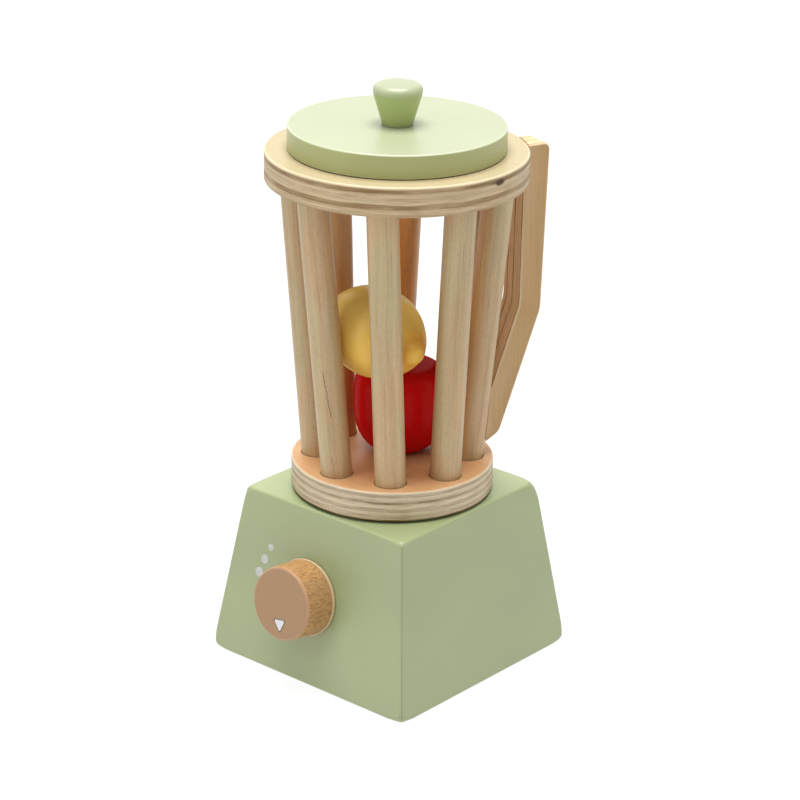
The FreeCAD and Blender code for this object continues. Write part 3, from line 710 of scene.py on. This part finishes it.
def edge_value(vert, radius):
    """How sharply the surface turns at a vertex: 1 where it is rounded to the given radius."""
    area = sum(face.calc_area() / len(face.verts) for face in vert.link_faces)
    bend = sum(edge.calc_face_angle_signed(0.0) * edge.calc_length() for edge in vert.link_edges
               if len(edge.link_faces) == 2)
    return max(0.0, min(1.0, bend / (2 * area) * radius)) if area > 0 else 0.0


def inward(vert):
    """How far a vertex faces the jug's axis: 1 towards it, 0 away from it."""
    outward = Vector((vert.co.x, vert.co.y, 0)).normalized()
    return max(0.0, min(1.0, 0.35 - vert.normal.dot(outward)))


def grain_space(origin, across, along, shift=(0.0, 0.0, 0.0)):
    """The wood's own space: millimetres from an origin, with Z along the given way."""
    along = along.normalized()
    across = (across - along * across.dot(along)).normalized()
    turned = Matrix((across, along.cross(across), along)).to_4x4()
    return Matrix.Translation(shift) @ Matrix.Scale(1000.0, 4) @ turned @ Matrix.Translation(-origin)


def shown(bm, name):
    """An object in the scene made of a bmesh, which is used up."""
    mesh = bpy.data.meshes.new(name)
    bm.to_mesh(mesh)
    bm.free()
    made = bpy.data.objects.new(name, mesh)
    bpy.context.scene.collection.objects.link(made)
    return made


def finished(bm, name, node, body, material, wood=None, edge_radius=0.0, tone=0.0, cage=False):
    """Turn a bmesh into a piece that rides on its body and stands for its CAD node, if it has one.

    The wood is its grain space, and a cage is smoothed into a continuous surface.
    """
    welded(bm)
    bm.normal_update()
    for face in bm.faces:
        face.smooth = True
    for edge in bm.edges:
        edge.smooth = edge.calc_face_angle(0.0) < SHARP
    if "edge" not in bm.verts.layers.float:
        mark_edges(bm, edge_radius)
    grain = bm.verts.layers.float_vector.new("grain")
    shade = bm.verts.layers.float.new("tone")
    space = wood or Matrix.Scale(1000.0, 4)
    for vert in bm.verts:
        vert[grain] = space @ vert.co
        # painted shade for the rods: the tone is strongest where a vertex faces the jug's axis
        vert[shade] = tone * inward(vert) if tone else 0.0
    piece = shown(bm, name)
    piece.data.materials.append(material)
    if cage:
        smooth = piece.modifiers.new("smooth form", "SUBSURF")
        smooth.levels = smooth.render_levels = 3
    else:
        weights = piece.modifiers.new("face weighted normals", "WEIGHTED_NORMAL")
        weights.keep_sharp = True
    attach(piece, body)
    if node:
        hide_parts(node)


def mark_edges(bm, radius):
    """Store on each vertex how sharply the surface turns there."""
    worn = bm.verts.layers.float.new("edge")
    for vert in bm.verts:
        vert[worn] = edge_value(vert, radius)


def carved(bm, cutters):
    """The bmesh with other solids cut out of it."""
    tool = bmesh.new()
    for cutter in cutters:
        mesh = bpy.data.meshes.new("cutter")
        cutter.to_mesh(mesh)
        cutter.free()
        tool.from_mesh(mesh)
        bpy.data.meshes.remove(mesh)
    blank, knife = shown(bm, "blank"), shown(tool, "knife")
    cut = blank.modifiers.new("cut", "BOOLEAN")
    cut.operation = "DIFFERENCE"
    cut.solver = "EXACT"
    cut.object = knife
    state = blank.evaluated_get(bpy.context.evaluated_depsgraph_get())
    result = bmesh.new()
    result.from_mesh(state.to_mesh())
    state.to_mesh_clear()
    for holder in (blank, knife):
        mesh = holder.data
        bpy.data.objects.remove(holder)
        bpy.data.meshes.remove(mesh)
    return result


def rod_line(jug, number):
    """Where a rod's axis leaves the disc and where it enters the ring."""
    azimuth = jug.first_azimuth + (number - 1) * math.tau / jug.rod_count
    foot = polar(jug.foot_circle / 2, azimuth + jug.twist, DISC_HIGH.z)
    return foot, polar(jug.head_circle / 2, azimuth, RING_LOW.z)


def sockets(jug):
    """The rods, widened by the socket gap, as cutters."""
    return [rod(*rod_line(jug, number), jug.rod_width + 2 * jug.socket_gap, jug.socket_depth)
            for number in range(1, jug.rod_count + 1)]


def jug_board(sizes, kind, node, outline, closed, plies, tones, blots):
    """Spin a plywood board of the jug, cut its sockets and finish it, plies counted from its top."""
    board = carved(lathe(outline, closed), sockets(sizes))
    material = ply_finish(kind + "_plywood", plies, tones, blots, turned=True)
    wood = grain_space(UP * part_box(node)[1].z, SIDE, -UP)
    finished(board, "jug_" + kind + "_plywood", node, "jug", material, wood,
             sizes.ply_rounding)


def wall_slope(housing):
    """How far the housing's side panels lean in, as an angle."""
    return math.atan((housing.bottom_width - housing.top_width) / 2 / HOUSING_TOP)


def knob_space():
    """From the control knob's own space, with Z out of the panel, to the toy's space."""
    joint = next(joint for joint in frame["joints"] if joint["name"] == "knob_turn")
    turned = UP.rotation_difference(Vector(joint["axis"])).to_matrix().to_4x4()
    return Matrix.Translation(joint["pos_m"]) @ turned


# ---------------------------------------------------------------- operators

class TOY_OT_housing(bpy.types.Operator):
    """Model the painted housing as four mitred side panels and a top panel"""
    bl_idname = "toy_blender.housing"
    bl_label = "Housing"

    def execute(self, context):
        sizes = context.scene.toy_housing
        paint = paint_finish("pistachio_paint", sizes.paint, sizes.wear_and_highlight_paint, mitred=True)
        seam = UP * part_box("base_top_panel")[0].z
        slope = wall_slope(sizes)
        blank = self.blank(sizes)
        top = blank.copy()
        slice_off(top, seam, -UP)
        finished(top, "top_panel_painted", "base_top_panel", "base", paint)

        for quarter, side in enumerate(("front", "right", "back", "left")):
            spin = Matrix.Rotation(quarter * math.pi / 2, 3, "Z")
            outward = spin @ Vector((0, -math.cos(slope), math.sin(slope)))
            inner = spin @ Vector((0, -sizes.bottom_width / 2, 0)) - outward * sizes.wall
            panel = blank.copy()
            slice_off(panel, seam, UP)
            slice_off(panel, Vector(), spin @ Vector((1, 1, 0)))
            slice_off(panel, Vector(), spin @ Vector((-1, 1, 0)))
            slice_off(panel, inner, -outward)
            finished(panel, side + "_panel_painted", "base_" + side + "_panel", "base",
                     paint)
        blank.free()
        return {"FINISHED"}

    def blank(self, sizes):
        """The solid outer form: a block cut into a fine net, tapered, then sanded."""
        bm = bmesh.new()
        bmesh.ops.create_cube(bm, size=2.0)
        for axis, reach in enumerate((sizes.bottom_width, sizes.bottom_width, HOUSING_TOP)):
            for cut in NET_CUTS:
                for side in (-1, 1):
                    place, normal = Vector(), Vector()
                    place[axis], normal[axis] = side * (1 - 2 * cut * MM / reach), 1
                    bmesh.ops.bisect_plane(bm, geom=bm.verts[:] + bm.edges[:] + bm.faces[:],
                                           dist=WELD, plane_co=place, plane_no=normal)
        for vert in bm.verts:
            rise = (vert.co.z + 1) / 2
            half = (sizes.bottom_width + (sizes.top_width - sizes.bottom_width) * rise) / 2
            place = Vector((vert.co.x * half, vert.co.y * half, rise * HOUSING_TOP))
            vert.co = self.sanded(sizes, place)
        mark_edges(bm, sizes.edge_rounding)
        return bm

    def sanded(self, sizes, place):
        """Where a point of the sharp form lies once its edge or corner is rounded."""
        slope = wall_slope(sizes)
        side = [math.copysign(1, value) for value in (place.x, place.y, place.z - HOUSING_TOP / 2)]
        upper = side[2] > 0
        half = (sizes.top_width if upper else sizes.bottom_width) / 2
        corner = Vector((side[0] * half, side[1] * half, HOUSING_TOP if upper else 0.0))
        walls = Matrix(((side[0] * math.cos(slope), 0, math.sin(slope)),
                        (0, side[1] * math.cos(slope), math.sin(slope)), (0, 0, side[2])))
        depths = walls @ (corner - place)
        worn = sizes.top_corners if upper else sizes.foot_corners
        if side == [1, 1, 1]:
            worn = sizes.back_corner
        whole = worn * WHOLE_ROUNDING
        away = max(0.0, (corner - place).length - whole)
        near = max(0.0, 1 - away / (sizes.sanding_reach - whole)) ** 2
        rise = place.z / HOUSING_TOP
        edge = sizes.foot_rounding + (sizes.edge_rounding - sizes.foot_rounding) * rise
        radius = edge + (worn - edge) * near
        short = Vector([max(0.0, radius - depth) for depth in depths])
        if short.length <= radius:
            return place
        smooth = [radius - (radius - depth) * radius / short.length if depth < radius else depth
                  for depth in depths]
        return corner - walls.inverted() @ Vector(smooth)


class TOY_OT_speed_dots(bpy.types.Operator):
    """Model the three printed dots beside the control knob"""
    bl_idname = "toy_blender.speed_dots"
    bl_label = "Speed dots"

    def execute(self, context):
        sizes = context.scene.toy_housing
        mark = flat_paint_finish("printed_mark", sizes.mark)
        slope = wall_slope(sizes)
        outward = Vector((0, -math.cos(slope), math.sin(slope)))
        for name, x, z, radius in DOTS:
            dot = lathe([(0, -0.1 * MM, 0), (radius * MM, -0.1 * MM, 0),
                         (radius * MM, 0.10 * MM, 0.09 * MM), (0, 0.12 * MM, 0)], steps=64)
            placed(dot, outward,
                   Vector((x * MM, -sizes.bottom_width / 2 + z * MM * math.tan(slope), z * MM)))
            finished(dot, "speed_dot_" + name, None, "base", mark)
        return {"FINISHED"}


class TOY_OT_underside(bpy.types.Operator):
    """Finish the floor board, glue blocks, screws and the jug's boss"""
    bl_idname = "toy_blender.underside"
    bl_label = "Underside"

    def execute(self, context):
        jug = context.scene.toy_jug
        board = board_finish("floor_plywood", jug)
        block = rod_finish("softwood", jug)
        beech = beech_finish("boss_beech", context.scene.toy_knob)
        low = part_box("base_floor_panel")[0].z
        upwards = grain_space(UP * low, Vector((1, 0.2, 0)), UP, (40, 15, 0))
        through = grain_space(Vector(), UP, SIDE, (7, 3, 20))
        for node, name, slot, material, wood in (
                ("base_floor_panel", "floor_board", "bare_plywood", board, upwards),
                ("base_corner_blocks", "glue_blocks", "bare_softwood", block, None),
                ("base_floor_screws", "floor_screws", "zinc_screw", zinc_finish("zinc_plate"), None),
                ("jug_locating_boss", "locating_boss", "beech", beech, through)):
            bm = bmesh.new()
            bm.from_mesh(frame["nodes"][node].data)
            finished(bm, name, node, frame["nodes"][node]["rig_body"], material, wood, 0.8 * MM)
        return {"FINISHED"}


class TOY_OT_control_knob(bpy.types.Operator):
    """Model the beech control knob, its cream washer and the printed pointer"""
    bl_idname = "toy_blender.control_knob"
    bl_label = "Control knob"

    def execute(self, context):
        sizes = context.scene.toy_knob
        space = knob_space()
        back = sizes.running_gap
        front = back + sizes.washer_depth
        face = front + sizes.depth
        half, rim, bore = sizes.width / 2, sizes.washer_width / 2, 4 * MM
        beech = beech_finish("oiled_beech", sizes, face / MM)
        knob = lathe([(0, front, 0), (half, front, 0.5 * MM),
                      (half - sizes.taper, face, sizes.face_rounding), (0, face, 0)])
        bmesh.ops.transform(knob, matrix=space, verts=knob.verts)
        turned = space.to_3x3()
        wood = grain_space(space @ Vector(), turned @ SIDE, turned @ UP, (3.0, 11.0, 0.0))
        finished(knob, "control_knob_beech", "control_knob", "knob", beech, wood,
                 sizes.face_rounding)

        washer = lathe([(bore, back, 0), (rim, back, 0.3 * MM), (rim, front, 0.3 * MM),
                        (bore, front, 0)], closed=True)
        bmesh.ops.transform(washer, matrix=space, verts=washer.verts)
        finished(washer, "knob_washer_cream", "knob_washer", "knob",
                 flat_paint_finish("cream_paint", sizes.washer))
        self.pointer(space, face)

        bare = board_finish("collar_plywood", context.scene.toy_jug, COLLAR)
        for node, material in (("knob_shaft", beech), ("knob_retaining_collar", bare),
                               ("knob_screw", zinc_finish("screw_zinc"))):
            frame["nodes"][node].data.materials.clear()
            frame["nodes"][node].data.materials.append(material)
        return {"FINISHED"}

    def pointer(self, space, face):
        """A small triangle printed near the knob's lower edge, with a dark outline."""
        for name, reach, rise, colour in POINTER_LAYERS:
            bm, upright = prism(3, reach * MM, 0.2 * MM)
            rounded(bm, upright, 1.0 * MM, 6)
            bmesh.ops.rotate(bm, verts=bm.verts, cent=(0, 0, 0),
                             matrix=Matrix.Rotation(POINTER_TURN, 3, "Z"))
            x, y = POINTER_PLACE
            bmesh.ops.translate(bm, verts=bm.verts, vec=(x * MM, y * MM, face + (rise - 0.1) * MM))
            bmesh.ops.transform(bm, matrix=space, verts=bm.verts)
            finished(bm, "knob_pointer_" + name, None, "knob",
                     flat_paint_finish("pointer_" + name, colour))


class TOY_OT_jug_disc(bpy.types.Operator):
    """Model the jug's plywood disc with eight slanted sockets and the boss recess"""
    bl_idname = "toy_blender.jug_disc"
    bl_label = "Jug disc"

    def execute(self, context):
        sizes = context.scene.toy_jug
        radius, recess, rounding = DISC_HIGH.x, sizes.boss_recess / 2, sizes.ply_rounding
        ceiling = DISC_LOW.z + sizes.recess_depth
        outline = [(0, ceiling, 0), (recess, ceiling, 0), (recess, DISC_LOW.z, 0),
                   (radius, DISC_LOW.z, rounding), (radius, DISC_HIGH.z, rounding),
                   (0, DISC_HIGH.z, 0)]
        tones = (sizes.disc_veneer, sizes.disc_ply, sizes.brown_ply, sizes.disc_grey)
        jug_board(sizes, "disc", "jug_base_disc", outline, False, DISC_PLIES, tones, DISC_STREAKS)
        return {"FINISHED"}


class TOY_OT_jug_ring(bpy.types.Operator):
    """Model the jug's plywood ring with sockets in its underside"""
    bl_idname = "toy_blender.jug_ring"
    bl_label = "Jug ring"

    def execute(self, context):
        sizes = context.scene.toy_jug
        hole, radius, rounding = sizes.ring_hole / 2, RING_HIGH.x, sizes.ply_rounding
        outline = [(hole, RING_LOW.z, rounding), (radius, RING_LOW.z, rounding),
                   (radius, RING_HIGH.z, rounding), (hole, RING_HIGH.z, rounding)]
        jug_board(sizes, "ring", "jug_top_ring", outline, True, RING_PLIES, ply_tones(sizes), RING_KNOT)
        return {"FINISHED"}


class TOY_OT_staves(bpy.types.Operator):
    """Model the eight slanted rods, each with its own stretch of grain"""
    bl_idname = "toy_blender.staves"
    bl_label = "Staves"

    def execute(self, context):
        sizes = context.scene.toy_jug
        material = rod_finish("rod_hardwood", sizes, CRACKS)
        for number in range(1, sizes.rod_count + 1):
            foot, head = rod_line(sizes, number)
            stave = rod(foot, head, sizes.rod_width, sizes.socket_depth, 0.5 * MM)
            wood = grain_space(foot, polar(1, 0.7 * number), head - foot,
                               (31.0 * number, 17.0 * number, 211.0 * number))
            node = "stave_" + str(number)
            finished(stave, node + "_rod", node, "jug", material, wood,
                     tone=ROD_PAINTED_SHADE[(number - 1) % len(ROD_PAINTED_SHADE)])
        return {"FINISHED"}


class TOY_OT_handle(bpy.types.Operator):
    """Model the cranked plywood handle, notched round the ring and coped to one rod"""
    bl_idname = "toy_blender.handle"
    bl_label = "Handle"

    def execute(self, context):
        sizes = context.scene.toy_handle
        jug = context.scene.toy_jug
        gap = sizes.joint_gap
        out, across = polar(1, sizes.azimuth), polar(1, sizes.azimuth - math.pi / 2)
        rim = rod(UP * (RING_LOW.z - gap), UP * (RING_HIGH.z + gap), 2 * (RING_HIGH.x + gap),
                  sides=LATHE_STEPS * 2)
        cope = rod(*rod_line(jug, COPED_ROD), jug.rod_width + 2 * gap, sizes.thickness)
        plate = carved(self.plate(sizes, out, across), [rim, cope])
        tones = (sizes.face, sizes.inner, sizes.face_grain, jug.pale_ply)
        material = ply_finish("handle_plywood", HANDLE_PLIES, tones)
        near = across * (sizes.middle + sizes.thickness / 2)
        wood = grain_space(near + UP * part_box("handle")[1].z, -UP, -across)
        finished(plate, "handle_plywood_plate", "handle", "jug", material, wood,
                 sizes.edge_rounding)
        return {"FINISHED"}

    def plate(self, sizes, out, across):
        """The handle's outline, rounded at its corners, given its thickness and eased edges."""
        bm = bmesh.new()
        far = across * (sizes.middle - sizes.thickness / 2)
        outlined(bm, [(out * reach * MM + UP * height * MM + far, rounding * MM)
                      for reach, height, rounding in HANDLE_OUTLINE], True, 12)
        bmesh.ops.contextual_create(bm, geom=bm.edges[:])
        grown = bmesh.ops.extrude_face_region(bm, geom=bm.faces[:])
        moved = [item for item in grown["geom"] if isinstance(item, bmesh.types.BMVert)]
        bmesh.ops.translate(bm, verts=moved, vec=across * sizes.thickness)
        bmesh.ops.recalc_face_normals(bm, faces=bm.faces)
        rounded(bm, [edge for edge in bm.edges if self.is_gripped(edge, out, across)],
                sizes.edge_rounding, 5)
        return bm

    def is_gripped(self, edge, out, across):
        """True for the long edges away from the two glued ends."""
        first, last = [vert.co for vert in edge.verts]
        middle = (first + last) / 2
        reach, height = middle.dot(out) / MM, middle.z / MM
        on_rim = reach < RIM_REACH and height > RIM_HEIGHT
        on_seat = reach < SEAT_REACH and height < SEAT_HEIGHT
        return abs((first - last).dot(across)) <= WELD and not on_rim and not on_seat


class TOY_OT_lid(bpy.types.Operator):
    """Model the painted lid, its centring plug and its knob"""
    bl_idname = "toy_blender.lid"
    bl_label = "Lid"

    def execute(self, context):
        sizes = context.scene.toy_lid
        housing = context.scene.toy_housing
        paint = paint_finish("lid_paint", housing.paint, housing.wear_and_highlight_paint, depths=LID_PAINTED_LIGHT)
        low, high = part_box("lid_disc")
        rounding = sizes.edge_rounding
        disc = lathe([(0, low.z, 0), (high.x, low.z, rounding), (high.x, high.z, rounding),
                      (0, high.z, 0)])
        finished(disc, "lid_disc_painted", "lid_disc", "lid", paint, None, rounding)

        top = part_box("lid_knob")[1].z
        knob = lathe([(0, high.z, 0), (sizes.knob_foot / 2, high.z, 0.4 * MM),
                      (sizes.knob_top / 2, top, sizes.crown_rounding), (0, top, 0)])
        finished(knob, "lid_knob_painted", "lid_knob", "lid", paint, None, rounding)

        low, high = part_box("lid_plug")
        chamfer = sizes.plug_chamfer
        plug = lathe([(0, low.z, 0), (high.x - chamfer, low.z, 0), (high.x, low.z + chamfer, 0),
                      (high.x, high.z, 0), (0, high.z, 0)])
        wood = grain_space(UP * low.z, Vector((1, 0.4, 0)), UP, (60, 0, 0))
        finished(plug, "lid_plug_plywood", "lid_plug", "lid",
                 board_finish("plug_plywood", context.scene.toy_jug), wood)
        return {"FINISHED"}


class TOY_OT_lemon(bpy.types.Operator):
    """Model the lacquered lemon with a nub at each end"""
    bl_idname = "toy_blender.lemon"
    bl_label = "Lemon"

    def execute(self, context):
        sizes = context.scene.toy_fruit
        low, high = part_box("lemon")
        centre = (low + high) / 2
        way = polar(math.cos(sizes.lemon_axis_rise), sizes.lemon_axis_azimuth,
                    math.sin(sizes.lemon_axis_rise))
        belly, half = sizes.lemon_width / 2, sizes.lemon_length / 2
        whole = list(LEMON_CAGE) + [(r, -h) for r, h in LEMON_CAGE[-2::-1]]
        bm = lathe([(r * belly, h * half, 0) for r, h in whole], steps=CAGE_STEPS)
        placed(bm, way, centre)
        # painted highlight: a broad paler spot above the lemon's middle; the tip spots are an orange
        # ring with yellow kept at the nubs
        spots = [((centre + UP * 14 * MM) / MM, (20.0, 20.0, 11.0), 0.9, sizes.lemon_painted_highlight)]
        for share, radius, shade in ((0.88, 7.2, sizes.lemon_tip), (1.0, 4.2, sizes.lemon)):
            spots += [((centre + way * half * end * share) / MM, radius, 0.75, shade)
                      for end in (1, -1)]
        material = lacquer_finish("lemon_lacquer", sizes.lemon, 0.35, spots)
        finished(bm, "lemon_turned", "lemon", "lemon", material, cage=True)
        return {"FINISHED"}


class TOY_OT_apple(bpy.types.Operator):
    """Model the lacquered apple, dished at both ends"""
    bl_idname = "toy_blender.apple"
    bl_label = "Apple"

    def execute(self, context):
        low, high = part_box("apple")
        size, centre = high - low, (low + high) / 2
        bm = lathe([(r * size.x / 2, h * size.z, 0) for r, h in APPLE_CAGE], steps=CAGE_STEPS)
        placed(bm, UP, (centre.x, centre.y, low.z))
        material = lacquer_finish("apple_lacquer", context.scene.toy_fruit.apple, 0.10)
        finished(bm, "apple_turned", "apple", "apple", material, cage=True)
        return {"FINISHED"}


class TOY_OT_stage(bpy.types.Operator):
    """Set up the pale floor, the soft lights and the camera"""
    bl_idname = "toy_blender.stage"
    bl_label = "Stage"

    def execute(self, context):
        sizes = context.scene.toy_studio
        scene = context.scene
        floor = bmesh.new()
        bmesh.ops.create_grid(floor, x_segments=4, y_segments=4, size=12.0)
        ground = shown(floor, "floor")
        ground.data.materials.append(floor_finish("pale_floor", sizes.floor))

        self.sky(scene, sizes.sky)
        scene.view_settings.view_transform = "Standard"
        camera = self.camera(scene, sizes)
        right = camera.matrix_world.to_3x3() @ SIDE
        front = Vector((camera.location.x, camera.location.y, 0)).normalized()
        for name, place, width, depth, power in (
                ("left_softbox", right * -1.3 + front * 0.7 + UP * 0.7, 0.6, 1.2, 5.0),
                ("right_softbox", right * 1.5 + front * 0.3 + UP * 0.7, 0.5, 1.2, 3.2),
                ("back_softbox", front * -1.9 + UP * 0.85, 2.6, 1.1, 9.0),
                ("front_softbox", front * 1.6 + right * 0.1 + UP * 1.9, 1.8, 1.4, 8.5)):
            light = bpy.data.lights.new(name, "AREA")
            light.shape = "RECTANGLE"
            light.size, light.size_y, light.energy = width, depth, power
            lamp = self.lamp(scene, light, place - MIDDLE)
            lamp.location = place
            lamp.visible_camera = False
        overhead = bpy.data.lights.new("overhead", "SUN")
        overhead.energy, overhead.angle = sizes.overhead, math.radians(45)
        self.lamp(scene, overhead, UP + front * -0.08 + right * -0.03)
        return {"FINISHED"}

    def lamp(self, scene, light, way):
        """A light that shines from the given way."""
        lamp = bpy.data.objects.new(light.name, light)
        lamp.rotation_euler = way.to_track_quat("Z", "Y").to_euler()
        scene.collection.objects.link(lamp)
        return lamp

    def sky(self, scene, strength):
        """An even light all round, in front of a white backdrop."""
        f = Finish("even_light", "worlds")
        around, backdrop = [f.node("ShaderNodeBackground", None, {"Color": WHITE, "Strength": power})
                            for power in (strength, 1.0)]
        seen = f.node("ShaderNodeLightPath", output="Is Camera Ray")
        both = f.node("ShaderNodeMixShader", None, {0: seen, 1: around, 2: backdrop})
        f.node("ShaderNodeOutputWorld", None, {"Surface": both})
        scene.world = f.holder

    def camera(self, scene, sizes):
        """A camera that looks at its target from an azimuth and elevation, with a small roll."""
        offset = polar(math.cos(sizes.elevation), sizes.azimuth, math.sin(sizes.elevation))
        right = UP.cross(offset).normalized()
        turned = Matrix.Rotation(sizes.roll, 3, offset)
        axes = Matrix((turned @ right, turned @ offset.cross(right), offset)).transposed()
        lens = bpy.data.cameras.new("camera")
        lens.lens = sizes.lens
        lens.sensor_width = 36.0
        camera = bpy.data.objects.new("camera", lens)
        place = Vector(sizes.target) + offset * sizes.distance
        camera.matrix_world = Matrix.Translation(place) @ axes.to_4x4()
        scene.collection.objects.link(camera)
        scene.camera = camera
        return camera


class TOY_PT_panel(bpy.types.Panel):
    """Lists the toy's settings and the operators that make its pieces"""
    bl_idname = "TOY_PT_panel"
    bl_label = "Toy Blender"
    bl_space_type = "VIEW_3D"
    bl_region_type = "UI"
    bl_category = "Toy Blender"

    def draw(self, context):
        for operator in OPERATORS:
            self.layout.operator(operator.bl_idname, text=operator.bl_label)
        for name, group in GROUPS.items():
            box = self.layout.box()
            for key in group.__annotations__:
                box.prop(getattr(context.scene, name), key)


GROUPS = {"toy_housing": HousingSizes, "toy_jug": JugSizes, "toy_handle": HandleSizes,
          "toy_lid": LidSizes, "toy_knob": KnobSizes, "toy_fruit": FruitSizes,
          "toy_studio": StudioSettings}
OPERATORS = (TOY_OT_housing, TOY_OT_speed_dots, TOY_OT_underside, TOY_OT_control_knob,
             TOY_OT_jug_disc, TOY_OT_jug_ring, TOY_OT_staves, TOY_OT_handle, TOY_OT_lid,
             TOY_OT_lemon, TOY_OT_apple, TOY_OT_stage)
CLASSES = (*GROUPS.values(), *OPERATORS, TOY_PT_panel)


def register():
    for part in CLASSES:
        bpy.utils.register_class(part)
    for name, group in GROUPS.items():
        setattr(bpy.types.Scene, name, PointerProperty(type=group))


def unregister():
    for name in GROUPS:
        delattr(bpy.types.Scene, name)
    for part in reversed(CLASSES):
        bpy.utils.unregister_class(part)


def main():
    """Make every piece in order."""
    register()
    for operator in OPERATORS:
        family, name = operator.bl_idname.split(".")
        getattr(getattr(bpy.ops, family), name)()
    bpy.context.view_layer.update()


if __name__ == "__main__":
    main()
